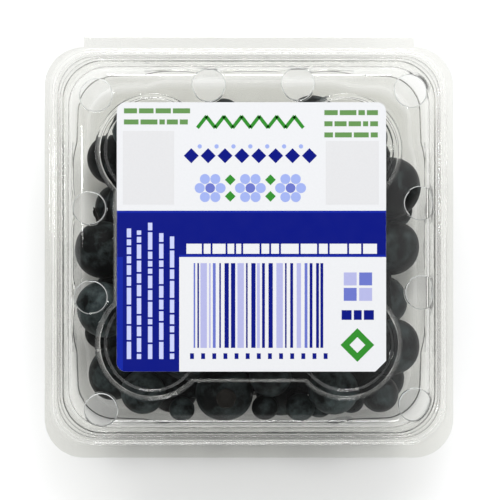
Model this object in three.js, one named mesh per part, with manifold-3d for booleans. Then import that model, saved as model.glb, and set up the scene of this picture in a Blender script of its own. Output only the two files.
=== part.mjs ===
// A clear hinged punnet of blueberries: a thermoformed tray, its lid with a raised label panel and round vents,
// the square label on that panel and the heap of berries inside. Lengths are millimetres, +Z is up, the hinge is
// at the back (+Y) and the opening lip at the front (-Y). The origin is under the middle, on the table.
import * as THREE from "three";
import { mergeVertices } from "three/addons/utils/BufferGeometryUtils.js";
import Module from "manifold-3d";

const wasm = await Module();
wasm.setup();

// Plastic sheet
const SHEET = 0.45;
const CLEARANCE = 0.3; // between the lid and the tray under it
const CORNER = 11; // plan radius of every corner

// Tray
const RIM_Z = 27; // top of the tray's flange
const FLOOR_HALF = 46.4; // inside half width at the foot of the wall, near the corners
const FLOOR_FILLET = 3;
const SIDE_BULGE = 1.7; // how far the middle of each wall stands out, up to the ledge
const LEDGE = { z: 19, inner: 48.6, outer: 51.1, rise: 0.9 }; // where a second tray would rest
const MOUTH_HALF = 52;
const MOUTH_DROP = 0.8; // rounded edge between wall and rim
const BEAD = { inner: 53.2, topInner: 53.6, topOuter: 54.7, outer: 55.2, rise: 1.1 };
const FLANGE = { half: 57.5, front: 59.3, back: 56.3 };

// Lid
const LID_Z = RIM_Z + CLEARANCE; // underside of the lid's flange
const LID_RISE = 11.6; // flat top over that
const LID_FLAT_HALF = 46;
const SHOULDER = 4.6;
const LID_FOOT_HALF = 52.2;

// Raised panel of the lid and the matching hollow under the tray, each a square with a disc at every corner
const PANEL = { rise: 1.6, squareFoot: 37.8, squareTop: 37.0, discFoot: 16.0, discTop: 14.7, discAt: 27 };
const DISH = { radius: 13.2, slope: 0.5, depth: 0.5 }; // shallow dish in the top of each disc
const STACK = { rise: 1.8, squareFoot: 38.9, squareTop: 38.3, discFoot: 16.4, discTop: 15.6, discAt: 27 };
const DISC_SIDES = 28;

// Vents, cut with one tool that sits a little off centre and turned
const VENT_RADIUS = 4.7;
const VENT_SIDES = 20;
const VENT_CORNER = 43.8; // of the four in the corners
const VENT_SIDE = 46.1; // of the pairs at the left, right and back
const VENT_PAIR = 12.45; // half the spacing of a pair
const VENT_SHIFT = { x: 1.9, y: -0.9 };
const VENT_TURN = THREE.MathUtils.degToRad(0.85);
const VENT_CUT_FROM = 3; // over the lid's flange

// Raised arrow that marks the opening side
const ARROW = { radius: 3.2, rise: 0.35, y: -41.2, flatten: 0.7 };

// Hinge
const HINGE_HALF = 46.8;
const HINGE_RADIUS = 0.45;
const HINGE_Y = FLANGE.front - HINGE_RADIUS;
const HINGE_Z = RIM_Z + CLEARANCE / 2;

// Label
const LABEL = { side: 75, corner: 2.5, cut: 3, thick: 0.15, x: 0.7, y: 2.8, lift: 0.05 };

// Berries: the ones that show round the label, each as x, y and diameter, and the layer it lies in. Where its
// crown shows, the lean of its axis and the heading it leans to follow, in radians.
const LOWER = 0;
const UPPER = 1;
const SEEN = [
  [-39.1, 24.4, 14.9, LOWER], [-37.9, 11.2, 14.1, LOWER, 1.3, -1.24], [-41.6, -0.8, 16.9, UPPER], [-41.2, -17.7, 16.6, UPPER],
  [-37.7, -35.7, 16.9, LOWER], [-22.4, -39.6, 16.3, LOWER], [-7, -42.2, 16.7, UPPER, 0.2, 0.4], [9.4, -41.6, 15.7, LOWER, 0.62, 1.13],
  [23.8, -40.4, 14.6, UPPER], [37, -37.2, 15.2, LOWER], [42.9, -28.2, 16.3, UPPER], [38.5, -14.9, 14.6, LOWER],
  [42.3, -0.6, 16.5, UPPER], [39.8, 16.6, 18.8, UPPER], [31.6, 30.6, 17, LOWER], [18.5, 36.2, 15.2, UPPER],
  [-31.2, 33, 16, UPPER], [-7.9, 36.4, 12.9, UPPER],
];
const HIDDEN = {
  spacing: 15.8, least: 13.6, most: 18.4, lowerRows: 6, upperRows: 5, forward: -3, beside: 0.62, under: 0.26,
  back: 41, // how far back a hidden one may reach, because the heap leans forward
};
const LAYER_Z = [9, 23];
const PACK = { steps: 700, settle: 150, fall: 0.06, lean: 0.012, hold: 0.35, clearance: 0.55 };
const FLATTEST = 0.84; // height of a berry over its width
const ROUNDEST = 0.94;
const LEAN = { least: 0.8, most: 2.7 }; // of a berry's axis from upright, in radians
const CORE = { halfX: 43, front: -43.5, back: 34, bottom: 6, top: 20, chamfer: 6 };
const HEAP_LIFT = 0.35; // gap under the lowest berry

// Outline points of a rounded square. Its sides stand out by bulge in the middle; y is stretched to front and back.
const ARC_STEPS = 5;
const SIDE_STOPS = [0.93, 0.87, 0.79, 0.71];
const BULGE_FROM = 0.93;
const BULGE_FULL = 0.71;

function ring({ half, z, bulge = 0, front = half, back = half }) {
  const straight = half - CORNER;
  const stops = [...SIDE_STOPS.map((u) => -u), ...SIDE_STOPS.toReversed()];
  const points = [];
  for (let side = 0; side < 4; side++) {
    const turn = (side * Math.PI) / 2;
    const [c, s] = [Math.round(Math.cos(turn)), Math.round(Math.sin(turn))];
    const place = (out, along) => points.push([c * out - s * along, s * out + c * along]);
    for (const u of stops) {
      const w = THREE.MathUtils.smoothstep(BULGE_FROM - Math.abs(u), 0, BULGE_FROM - BULGE_FULL);
      place(half + bulge * w, straight * u);
    }
    for (let i = 0; i <= ARC_STEPS; i++) {
      const a = (i / ARC_STEPS) * (Math.PI / 2);
      place(straight + CORNER * Math.cos(a), straight + CORNER * Math.sin(a));
    }
  }
  return points.map(([x, y]) => [x, y * (y < 0 ? front / half : back / half), z]);
}

// A closed solid through rings of equal length, capped by a fan at each end.
function loft(rings) {
  const n = rings[0].length;
  const corners = rings.flat();
  const faces = [];
  const quad = (a, b, c, d) => faces.push(a, b, c, a, c, d);
  for (let r = 0; r + 1 < rings.length; r++) {
    for (let i = 0; i < n; i++) {
      const j = (i + 1) % n;
      quad(r * n + i, r * n + j, (r + 1) * n + j, (r + 1) * n + i);
    }
  }
  const last = (rings.length - 1) * n;
  const [low, high] = [corners.length, corners.length + 1];
  corners.push([0, 0, rings[0][0][2]], [0, 0, rings.at(-1)[0][2]]);
  for (let i = 0; i < n; i++) {
    const j = (i + 1) % n;
    faces.push(low, j, i, high, last + i, last + j);
  }
  const geometry = new THREE.BufferGeometry();
  geometry.setAttribute("position", new THREE.Float32BufferAttribute(corners.flat(), 3));
  geometry.setIndex(faces);
  return solid(geometry);
}

// A closed three.js geometry as a solid, facing out.
function solid(geometry) {
  const bare = new THREE.BufferGeometry();
  bare.setAttribute("position", geometry.getAttribute("position"));
  if (geometry.index) bare.setIndex(geometry.index);
  const merged = mergeVertices(bare, 1e-4);
  const triVerts = new Uint32Array(merged.index.array);
  const make = () => {
    const vertProperties = merged.attributes.position.array;
    return new wasm.Manifold(new wasm.Mesh({ numProp: 3, vertProperties, triVerts }));
  };
  const made = make();
  if (made.volume() > 0) return made;
  for (let i = 0; i < triVerts.length; i += 3) {
    [triVerts[i + 1], triVerts[i + 2]] = [triVerts[i + 2], triVerts[i + 1]];
  }
  return make();
}

// A solid as a named mesh.
function mesh(name, made, material) {
  const { numProp, numVert, vertProperties, triVerts } = made.getMesh();
  const position = new Float32Array(numVert * 3);
  for (let i = 0; i < numVert; i++) position.set(vertProperties.subarray(i * numProp, i * numProp + 3), i * 3);
  const geometry = new THREE.BufferGeometry();
  geometry.setAttribute("position", new THREE.BufferAttribute(position, 3));
  geometry.setIndex(new THREE.BufferAttribute(triVerts, 1));
  geometry.computeVertexNormals();
  const made3 = new THREE.Mesh(geometry, material);
  made3.name = name;
  return made3;
}

function box(x0, x1, y0, y1, z0, z1) {
  return solid(new THREE.BoxGeometry(x1 - x0, y1 - y0, z1 - z0).translate((x0 + x1) / 2, (y0 + y1) / 2, (z0 + z1) / 2));
}

// An upright cone stump from radius r0 at z0 to r1 at z1.
function stump(x, y, r0, r1, z0, z1, sides = DISC_SIDES) {
  const upright = new THREE.CylinderGeometry(r1, r0, z1 - z0, sides).rotateX(Math.PI / 2);
  return solid(upright.translate(x, y, (z0 + z1) / 2));
}

// The profile moved by distance along its own normals. It runs outwards, so a positive distance goes up.
function offset(profile, distance) {
  return profile.map((p, i) => {
    const before = profile[Math.max(i - 1, 0)];
    const after = profile[Math.min(i + 1, profile.length - 1)];
    const unit = (a, b) => {
      const length = Math.hypot(b.half - a.half, b.z - a.z) || 1;
      return [-(b.z - a.z) / length, (b.half - a.half) / length];
    };
    const [n0, n1] = [i ? unit(before, p) : unit(p, after), i + 1 < profile.length ? unit(p, after) : unit(before, p)];
    const [nx, nz] = [n0[0] + n1[0], n0[1] + n1[1]];
    const reach = (2 * distance) / (nx * nx + nz * nz);
    return { ...p, half: p.half + nx * reach, z: p.z + nz * reach };
  });
}

// Formed sheet whose upper face follows the profile from near the middle out to its edge.
function formed(profile) {
  const under = offset(profile, -SHEET);
  return loft([...under.map(ring), ...profile.toReversed().map(ring)]);
}

// Rim shared by the two halves: a flat ledge, the bead that snaps them together, and the flange.
function rim(z) {
  return [
    { half: BEAD.inner, z },
    { half: BEAD.topInner, z: z + BEAD.rise },
    { half: BEAD.topOuter, z: z + BEAD.rise },
    { half: BEAD.outer, z },
    { half: FLANGE.half, z, front: FLANGE.front, back: FLANGE.back },
  ];
}

// A square frustum with a cone stump at each corner, as on the lid's panel, grown all round by grow.
function cloverleaf(shape, z0, z1, grow) {
  const foot = shape.squareFoot + grow;
  const top = shape.squareTop + grow;
  const square = new THREE.CylinderGeometry(top * Math.SQRT2, foot * Math.SQRT2, z1 - z0, 4);
  let leaf = solid(square.rotateY(Math.PI / 4).rotateX(Math.PI / 2).translate(0, 0, (z0 + z1) / 2));
  for (const [x, y] of corners(shape.discAt)) {
    leaf = leaf.add(stump(x, y, shape.discFoot + grow, shape.discTop + grow, z0, z1));
  }
  return leaf;
}

function corners(at) {
  return [[at, at], [-at, at], [-at, -at], [at, -at]];
}

function tray() {
  const fillet = [{ half: FLOOR_HALF - 2 * FLOOR_FILLET, z: SHEET, bulge: SIDE_BULGE }];
  for (let i = 0; i <= 3; i++) {
    const a = (i / 3) * (Math.PI / 2);
    const half = FLOOR_HALF - FLOOR_FILLET * (1 - Math.sin(a));
    fillet.push({ half, z: SHEET + FLOOR_FILLET * (1 - Math.cos(a)), bulge: SIDE_BULGE });
  }
  const profile = [
    ...fillet,
    { half: LEDGE.inner, z: LEDGE.z, bulge: SIDE_BULGE },
    { half: LEDGE.outer, z: LEDGE.z + LEDGE.rise },
    { half: MOUTH_HALF, z: RIM_Z - MOUTH_DROP },
    { half: MOUTH_HALF + MOUTH_DROP / 2, z: RIM_Z },
    ...rim(RIM_Z),
  ];
  const raised = cloverleaf(STACK, 0.05, STACK.rise + SHEET, SHEET);
  const hollow = cloverleaf(STACK, -1, STACK.rise, 0);
  const strip = box(-HINGE_HALF, HINGE_HALF, FLANGE.back - 1, HINGE_Y, RIM_Z - SHEET, RIM_Z);
  const roll = new THREE.CylinderGeometry(HINGE_RADIUS, HINGE_RADIUS, 2 * HINGE_HALF, 12).rotateZ(Math.PI / 2);
  return formed(profile)
    .add(raised)
    .subtract(hollow)
    .add(strip)
    .add(solid(roll.translate(0, HINGE_Y, HINGE_Z)));
}

function vents() {
  const places = corners(VENT_CORNER);
  for (const step of [-VENT_PAIR, VENT_PAIR]) {
    places.push([VENT_SIDE, step], [-VENT_SIDE, step], [step, VENT_SIDE]);
  }
  const [c, s] = [Math.cos(VENT_TURN), Math.sin(VENT_TURN)];
  return places.map(([x, y]) => {
    const [vx, vy] = [c * x - s * y + VENT_SHIFT.x, s * x + c * y + VENT_SHIFT.y];
    return stump(vx, vy, VENT_RADIUS, VENT_RADIUS, LID_Z + VENT_CUT_FROM, LID_Z + 2 * LID_RISE, VENT_SIDES);
  });
}

function lid() {
  const top = LID_Z + LID_RISE;
  const shoulder = [{ half: LID_FLAT_HALF - 2, z: top }];
  for (let i = 0; i <= 4; i++) {
    const a = (i / 4) * (Math.PI / 2);
    shoulder.push({ half: LID_FLAT_HALF + SHOULDER * Math.sin(a), z: top - SHOULDER * (1 - Math.cos(a)) });
  }
  const foot = { half: LID_FOOT_HALF, z: LID_Z + SHEET };
  const over = offset([{ half: MOUTH_HALF, z: RIM_Z }, ...rim(RIM_Z)], CLEARANCE + SHEET).slice(1);
  let made = formed([...shoulder, foot, ...over]);
  const panelTop = top + PANEL.rise;
  made = made.add(cloverleaf(PANEL, top - SHEET / 2, panelTop, 0));
  made = made.subtract(cloverleaf(PANEL, top - SHEET - 0.5, panelTop - SHEET, -SHEET));
  const { radius, slope, depth } = DISH;
  for (const [x, y] of corners(PANEL.discAt)) {
    made = made.add(stump(x, y, radius, radius + slope, panelTop - depth - SHEET, panelTop - SHEET / 2));
    made = made.subtract(stump(x, y, radius - slope, radius, panelTop - depth, panelTop + 0.01));
  }
  const strip = box(-HINGE_HALF, HINGE_HALF, FLANGE.back - 0.4, HINGE_Y - HINGE_RADIUS - CLEARANCE, LID_Z, LID_Z + SHEET);
  const arrow = new THREE.CylinderGeometry(ARROW.radius * 0.8, ARROW.radius, ARROW.rise + SHEET / 2, 3);
  arrow.rotateX(Math.PI / 2).scale(1, -ARROW.flatten, 1);
  arrow.translate(0, ARROW.y, top - SHEET / 2 + (ARROW.rise + SHEET / 2) / 2);
  made = made.add(strip).add(solid(arrow));
  for (const vent of vents()) made = made.subtract(vent);
  return made;
}

function label() {
  const half = LABEL.side / 2;
  const straight = half - LABEL.corner;
  const shape = new THREE.Shape();
  shape.moveTo(half, LABEL.cut - half);
  shape.lineTo(half, straight);
  [[1, 1], [-1, 1], [-1, -1]].forEach(([sx, sy], i) => {
    shape.absarc(sx * straight, sy * straight, LABEL.corner, (i * Math.PI) / 2, ((i + 1) * Math.PI) / 2);
  });
  shape.lineTo(half - LABEL.cut, -half);
  const flat = new THREE.ExtrudeGeometry(shape, { depth: LABEL.thick, bevelEnabled: false, curveSegments: 5 });
  return solid(flat.translate(LABEL.x, LABEL.y, LID_Z + LID_RISE + PANEL.rise + LABEL.lift));
}

// Seeded draws from 0 to 1.
function draws(seed) {
  let state = seed >>> 0;
  return () => {
    state = (Math.imul(state, 1664525) + 1013904223) >>> 0;
    return state / 4294967296;
  };
}

// Height of a ball's centre when it rests on the tray's floor, beside the raised panel or on its edge.
function restAt(x, y, r) {
  const [ax, ay] = [Math.abs(x), Math.abs(y)];
  const half = STACK.squareFoot + SHEET;
  const [sx, sy] = [Math.max(ax - half, 0), Math.max(ay - half, 0)];
  const [dx, dy] = [ax - STACK.discAt, ay - STACK.discAt];
  const toDisc = Math.max(Math.sqrt(dx * dx + dy * dy) - STACK.discFoot - SHEET, 0);
  const away = Math.min(Math.sqrt(sx * sx + sy * sy), toDisc);
  const onPanel = away < r ? STACK.rise + Math.sqrt(r * r - away * away) : 0;
  return SHEET + Math.max(r, onPanel) + HEAP_LIFT;
}

// Keeps a berry inside the tray and over its floor. Over the ledge a berry can lean out past its inner edge.
function contain(b) {
  const up = Math.min(Math.max((b.z - SHEET - FLOOR_FILLET) / (LEDGE.z - SHEET - FLOOR_FILLET), 0), 1);
  const half = FLOOR_HALF + (LEDGE.inner - FLOOR_HALF) * up;
  const over = Math.max(b.z - LEDGE.z, 0);
  const size = Math.sqrt(Math.max(b.r * b.r - over * over, 0)) + PACK.clearance;
  const widest = LEDGE.outer - b.r - PACK.clearance;
  const full = (half - CORNER) * BULGE_FULL;
  const limitX = Math.min(half + (Math.abs(b.y) < full ? SIDE_BULGE : 0) - size, widest);
  const limitY = Math.min(half + (Math.abs(b.x) < full ? SIDE_BULGE : 0) - size, widest);
  b.x = Math.min(Math.max(b.x, -limitX), limitX);
  b.y = Math.min(Math.max(b.y, -limitY), b.home ? limitY : HIDDEN.back - b.r);
  const arc = half - CORNER;
  const [qx, qy] = [Math.abs(b.x) - arc, Math.abs(b.y) - arc];
  const far = Math.sqrt(qx * qx + qy * qy);
  const reach = Math.max(CORNER - size, 0.5);
  if (qx > 0 && qy > 0 && far > reach) {
    b.x = Math.sign(b.x) * (arc + (qx * reach) / far);
    b.y = Math.sign(b.y) * (arc + (qy * reach) / far);
  }
  b.z = Math.max(b.z, restAt(b.x, b.y, b.r));
}

// Every berry, settled: the seen ones are held near their places, and the hidden ones fill in between.
function berries() {
  const next = draws(44);
  const all = SEEN.map(([x, y, d, layer, lean, heading]) => {
    return { x, y, z: LAYER_Z[layer], r: d / 2, layer, home: [x, y], lean, heading };
  });
  for (const layer of [LOWER, UPPER]) {
    const rows = layer === LOWER ? HIDDEN.lowerRows : HIDDEN.upperRows;
    for (let i = 0; i < rows * rows; i++) {
      const x = ((i % rows) - (rows - 1) / 2) * HIDDEN.spacing + (next() - 0.5) * 2;
      const y = (Math.floor(i / rows) - (rows - 1) / 2) * HIDDEN.spacing + HIDDEN.forward + (next() - 0.5) * 2;
      const r = (HIDDEN.least + (HIDDEN.most - HIDDEN.least) * next()) / 2;
      const crowded = all.some((b) => {
        const [dx, dy] = [b.x - x, b.y - y];
        const near = b.layer === layer ? HIDDEN.beside : HIDDEN.under;
        return b.home && dx * dx + dy * dy < near * (b.r + r) * (b.r + r);
      });
      if (!crowded) all.push({ x, y, z: LAYER_Z[layer], r, layer, home: null });
    }
  }
  for (let step = 0; step < PACK.steps; step++) {
    const falling = step < PACK.steps - PACK.settle;
    for (const b of all) {
      if (falling) {
        b.z -= PACK.fall;
        if (!b.home) b.y -= PACK.lean;
      }
      if (b.home) {
        b.x += (b.home[0] - b.x) * PACK.hold;
        b.y += (b.home[1] - b.y) * PACK.hold;
      }
    }
    for (let i = 0; i < all.length; i++) {
      for (let j = i + 1; j < all.length; j++) {
        const [a, b] = [all[i], all[j]];
        const [dx, dy, dz] = [b.x - a.x, b.y - a.y, b.z - a.z];
        const far = Math.sqrt(dx * dx + dy * dy + dz * dz);
        const short = a.r + b.r - far;
        if (short > 0) {
          const share = short / far / 2;
          a.x -= dx * share;
          a.y -= dy * share;
          a.z -= dz * share;
          b.x += dx * share;
          b.y += dy * share;
          b.z += dz * share;
        }
      }
    }
    all.forEach(contain);
  }
  return all.map((b) => {
    const [flat, lean, heading] = [next(), next(), next()];
    return {
      ...b,
      flat: FLATTEST + (ROUNDEST - FLATTEST) * flat,
      lean: b.lean ?? LEAN.least + (LEAN.most - LEAN.least) * lean,
      heading: b.heading ?? 2 * Math.PI * heading,
    };
  });
}

function heap() {
  const { halfX, front, back, bottom, top, chamfer } = CORE;
  const middle = (front + back) / 2;
  const slab = new THREE.CylinderGeometry(1, 1, top - bottom, 4).rotateY(Math.PI / 4).rotateX(Math.PI / 2);
  slab.scale((halfX - chamfer) * Math.SQRT2, ((back - front) / 2 - chamfer) * Math.SQRT2, 1);
  let made = solid(slab.translate(0, middle, (bottom + top) / 2));
  const inner = box(-halfX, halfX, front, back, bottom + chamfer / 2, top - chamfer);
  made = made.add(inner);
  for (const { x, y, z, r, flat, lean, heading } of berries()) {
    const ball = new THREE.IcosahedronGeometry(r, 1).scale(1, 1, flat);
    ball.rotateX(lean).rotateZ(heading).translate(x, y, z);
    made = made.add(solid(ball));
  }
  return made.decompose().reduce((a, b) => (a.volume() > b.volume() ? a : b));
}

const clearPlastic = new THREE.MeshStandardMaterial({
  color: 0xeef2f2, roughness: 0.08, metalness: 0, transparent: true, opacity: 0.25,
});
const labelPaper = new THREE.MeshStandardMaterial({ color: 0xf3f4f7, roughness: 0.45, metalness: 0 });
const berrySkin = new THREE.MeshStandardMaterial({ color: 0x272d33, roughness: 0.6, metalness: 0 });

const punnet = new THREE.Group();
punnet.add(mesh("tray", tray(), clearPlastic));
punnet.add(mesh("lid", lid(), clearPlastic));
punnet.add(mesh("label", label(), labelPaper));
punnet.add(mesh("blueberries", heap(), berrySkin));

export default punnet;
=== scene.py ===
"""Looks of a clear hinged punnet of blueberries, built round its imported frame.

The tray and the lid are formed sheets, made ring by ring from the middle out to the flange. The berries are
settled by the same rule as the heap in the frame. The label carries plain fields, bars and a generic border.
Sizes are millimetres unless a name says otherwise, and MM turns them into Blender's metres.
"""

import logging
import math
import random
from collections.abc import Callable, Sequence
from dataclasses import dataclass, field, replace
from enum import Enum

import bmesh
import bpy
from mathutils import Matrix, Vector


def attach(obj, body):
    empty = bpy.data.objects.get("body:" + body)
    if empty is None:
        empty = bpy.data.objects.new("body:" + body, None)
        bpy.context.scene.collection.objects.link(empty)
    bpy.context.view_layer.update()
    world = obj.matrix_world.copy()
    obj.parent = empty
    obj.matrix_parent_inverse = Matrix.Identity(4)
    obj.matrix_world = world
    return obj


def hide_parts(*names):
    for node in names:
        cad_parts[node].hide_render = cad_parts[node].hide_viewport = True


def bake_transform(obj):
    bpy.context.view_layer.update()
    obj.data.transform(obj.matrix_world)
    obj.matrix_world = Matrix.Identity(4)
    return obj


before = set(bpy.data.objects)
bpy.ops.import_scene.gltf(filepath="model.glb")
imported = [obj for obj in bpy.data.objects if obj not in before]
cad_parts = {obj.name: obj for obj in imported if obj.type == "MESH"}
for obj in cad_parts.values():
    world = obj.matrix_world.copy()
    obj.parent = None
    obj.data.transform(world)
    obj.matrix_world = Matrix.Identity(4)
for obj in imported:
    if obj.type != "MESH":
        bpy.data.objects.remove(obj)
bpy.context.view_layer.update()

MM = 0.001
NEAR = 0.01
Socket = bpy.types.NodeSocket
log = logging.getLogger("punnet")


class Body(Enum):
    """The frame's moving bodies."""

    TRAY = "tray_body"
    LID = "lid_body"


class Slot(Enum):
    """The record's material slots."""

    PLASTIC = "clear_plastic"
    PAPER = "label_paper"
    SKIN = "berry_skin"


class Bench:
    """One mesh object open in edit mode, with its parts picked by place."""

    def __init__(self, obj: bpy.types.Object) -> None:
        """Take the object that is worked on."""
        self.obj = obj

    def __enter__(self) -> "Bench":
        """Open the object for editing, with nothing picked."""
        clear_selection()
        self.obj.select_set(True)
        bpy.context.view_layer.objects.active = self.obj
        bpy.ops.object.mode_set(mode="EDIT")
        self.pick("VERT", lambda v: False)
        return self

    def __exit__(self, *error: object) -> None:
        """Go back to object mode."""
        bpy.ops.object.mode_set(mode="OBJECT")

    def pick(self, kind: str, test: Callable[..., bool]) -> int:
        """Pick the vertices, edges or faces that pass a test.

        Args:
            kind: VERT, EDGE or FACE.
            test: says whether one element is picked.

        Returns:
            How many were picked.
        """
        bpy.ops.mesh.select_mode(type=kind)
        bpy.ops.mesh.select_all(action="DESELECT")
        mesh = bmesh.from_edit_mesh(self.obj.data)
        parts = {"VERT": mesh.verts, "EDGE": mesh.edges, "FACE": mesh.faces}[kind]
        picked = [part for part in parts if test(part)]
        for part in picked:
            part.select = True
        mesh.select_flush_mode()
        bmesh.update_edit_mesh(self.obj.data)
        return len(picked)

    def pick_all(self, kind: str = "VERT") -> None:
        """Pick every vertex, edge or face."""
        bpy.ops.mesh.select_mode(type=kind)
        bpy.ops.mesh.select_all(action="SELECT")

    def picked(self) -> list[int]:
        """Return the indices of the picked vertices."""
        mesh = bmesh.from_edit_mesh(self.obj.data)
        mesh.verts.index_update()
        return [v.index for v in mesh.verts if v.select]

    def pick_of(self, indices: Sequence[int], test: Callable[[Vector], bool]) -> None:
        """Pick those of some vertices whose place passes a test.

        Args:
            indices: the vertices to choose from.
            test: says whether a vertex at a place is picked.
        """
        among = set(indices)
        self.pick("VERT", lambda v: v.index in among and test(v.co))

    def shift(self, x: float = 0.0, y: float = 0.0, z: float = 0.0) -> None:
        """Move what is picked, in metres."""
        bpy.ops.transform.translate(value=(x, y, z))

    def grow(self, x: float, y: float, z: float, centre: Vector | None = None) -> None:
        """Scale what is picked about a centre.

        Args:
            x: factor along X.
            y: factor along Y.
            z: factor along Z.
            centre: the point that stays, or None for the object's origin.
        """
        bpy.ops.transform.resize(value=(x, y, z), center_override=centre or Vector((0, 0, 0)))

    def outward(self) -> None:
        """Merge doubles and turn every face outwards."""
        self.pick_all()
        bpy.ops.mesh.remove_doubles(threshold=1e-6)
        bpy.ops.mesh.normals_make_consistent(inside=False)


def clear_selection() -> None:
    """Leave edit mode and select nothing."""
    if bpy.context.object and bpy.context.object.mode != "OBJECT":
        bpy.ops.object.mode_set(mode="OBJECT")
    bpy.ops.object.select_all(action="DESELECT")


def placed(name: str) -> bpy.types.Object:
    """Name the object just added and move its place into its mesh.

    Args:
        name: the object's new name.

    Returns:
        The object.
    """
    obj = bpy.context.object
    obj.name = name
    obj.data.name = name
    bpy.ops.object.transform_apply(location=True, rotation=True, scale=True)
    return obj


def apply_modifier(obj: bpy.types.Object, kind: str, **settings: object) -> None:
    """Add a modifier to an object and apply it.

    Args:
        obj: the object.
        kind: the modifier's type.
        settings: its properties.
    """
    clear_selection()
    bpy.context.view_layer.objects.active = obj
    modifier = obj.modifiers.new(kind.lower(), kind)
    for key, value in settings.items():
        setattr(modifier, key, value)
    bpy.ops.object.modifier_apply(modifier=modifier.name)


def combine(obj: bpy.types.Object, tool: bpy.types.Object, how: str) -> None:
    """Join or cut an object with a tool object, which is used up.

    Args:
        obj: the object that stays.
        tool: the solid that is joined to it or cut from it.
        how: UNION or DIFFERENCE.
    """
    apply_modifier(obj, "BOOLEAN", object=tool, operation=how, solver="EXACT", material_mode="TRANSFER")
    bpy.data.objects.remove(tool)


def join(name: str, objects: Sequence[bpy.types.Object]) -> bpy.types.Object:
    """Join several objects into one.

    Args:
        name: the joined object's name.
        objects: the objects, of which the first one stays.

    Returns:
        The joined object.
    """
    clear_selection()
    for obj in objects:
        obj.select_set(True)
    bpy.context.view_layer.objects.active = objects[0]
    bpy.ops.object.join()
    objects[0].name = name
    return objects[0]


def smooth(obj: bpy.types.Object, degrees: float = 32) -> None:
    """Shade an object smoothly, but for edges sharper than an angle.

    Args:
        obj: the object.
        degrees: the angle.
    """
    clear_selection()
    obj.select_set(True)
    bpy.context.view_layer.objects.active = obj
    bpy.ops.object.shade_smooth_by_angle(angle=math.radians(degrees))


def ride(obj: bpy.types.Object, body: Body, slot: Slot, *nodes: str) -> bpy.types.Object:
    """Fix a piece to a body of the frame, hide the frame's nodes that it replaces, and log it.

    Args:
        obj: the finished piece.
        body: the body that it moves with.
        slot: the record's slot; not used.
        nodes: the frame's nodes that it replaces.

    Returns:
        The piece.
    """
    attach(obj, body.value)
    if nodes:
        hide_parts(*nodes)
    log.info("%s: %d faces, on %s", obj.name, len(obj.data.polygons), body.value)
    return obj


class Recipe:
    """A node material, or a world, under construction."""

    def __init__(self, name: str, world: bool = False) -> None:
        """Start an empty material or world of that name."""
        self.owner = (bpy.data.worlds if world else bpy.data.materials).new(name)
        self.owner.use_nodes = True
        self.tree = self.owner.node_tree
        self.tree.nodes.clear()

    def node(
        self, kind: str, settings: dict[str, object] | None = None, **inputs: object
    ) -> bpy.types.Node:
        """Add a node.

        Args:
            kind: the node's type.
            settings: its properties.
            inputs: its sockets by name, with _ for a space: a value, or an output to link.

        Returns:
            The node.
        """
        made = self.tree.nodes.new(kind)
        for key, value in (settings or {}).items():
            setattr(made, key, value)
        for key, value in inputs.items():
            socket = made.inputs[int(key[1:])] if key[1:].isdigit() else made.inputs[key.replace("_", " ")]
            if isinstance(value, Socket):
                self.tree.links.new(value, socket)
            else:
                socket.default_value = value
        return made

    def place(self) -> Socket:
        """Return the place on the object."""
        return self.node("ShaderNodeTexCoord").outputs["Object"]

    def sum(self, how: str, a: object, b: object) -> Socket:
        """Return a sum of two numbers, by the operation named."""
        return self.node("ShaderNodeMath", {"operation": how}, i0=a, i1=b).outputs[0]

    def noise(self, scale: float, detail: float = 3, roughness: float = 0.5) -> Socket:
        """Return a cloudy value from 0 to 1.

        Args:
            scale: patches for each metre.
            detail: how many finer layers it has.
            roughness: how strong those are.

        Returns:
            The value's output.
        """
        made = self.node(
            "ShaderNodeTexNoise", Vector=self.place(), Scale=scale, Detail=detail, Roughness=roughness
        )
        return made.outputs[0]

    def ramp(
        self, value: Socket, low: float, high: float, dark: Sequence[float], light: Sequence[float]
    ) -> Socket:
        """Return a colour between two as a value goes from low to high.

        Args:
            value: the value.
            low: where the first colour ends.
            high: where the second colour starts.
            dark: the first colour, linear.
            light: the second colour, linear.

        Returns:
            The colour's output.
        """
        made = self.node("ShaderNodeValToRGB", Fac=value)
        first, last = made.color_ramp.elements
        first.position, first.color = low, (*dark, 1)
        last.position, last.color = high, (*light, 1)
        return made.outputs["Color"]

    def level(
        self, value: Socket, low: float, high: float, start: float, end: float, smooth: bool = False
    ) -> Socket:
        """Return a number that goes from start to end as a value goes from low to high.

        Args:
            value: the value.
            low: where it starts.
            high: where it ends.
            start: the number at the start.
            end: the number at the end.
            smooth: whether it eases in and out.

        Returns:
            The number's output.
        """
        ease = {"interpolation_type": "SMOOTHSTEP"} if smooth else {}
        made = self.node(
            "ShaderNodeMapRange", ease, Value=value, From_Min=low, From_Max=high, To_Min=start, To_Max=end
        )
        return made.outputs[0]

    def bump(self, height: Socket, strength: float, depth: float) -> Socket:
        """Return a normal roughened by a height.

        Args:
            height: the height.
            strength: from 0 to 1.
            depth: the height's full size, in metres.

        Returns:
            The normal's output.
        """
        return self.node("ShaderNodeBump", Height=height, Strength=strength, Distance=depth).outputs[0]

    def mix(self, share: Socket, first: Socket, second: Socket) -> Socket:
        """Return a shader between two.

        Args:
            share: from 0 for the first to 1 for the second.
            first: the first shader.
            second: the second shader.

        Returns:
            The shader's output.
        """
        return self.node("ShaderNodeMixShader", i0=share, i1=first, i2=second).outputs[0]

    def done(self, shader: Socket) -> bpy.types.Material:
        """Finish the material with a surface shader and return it."""
        self.node("ShaderNodeOutputMaterial", Surface=shader)
        return self.owner


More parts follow.
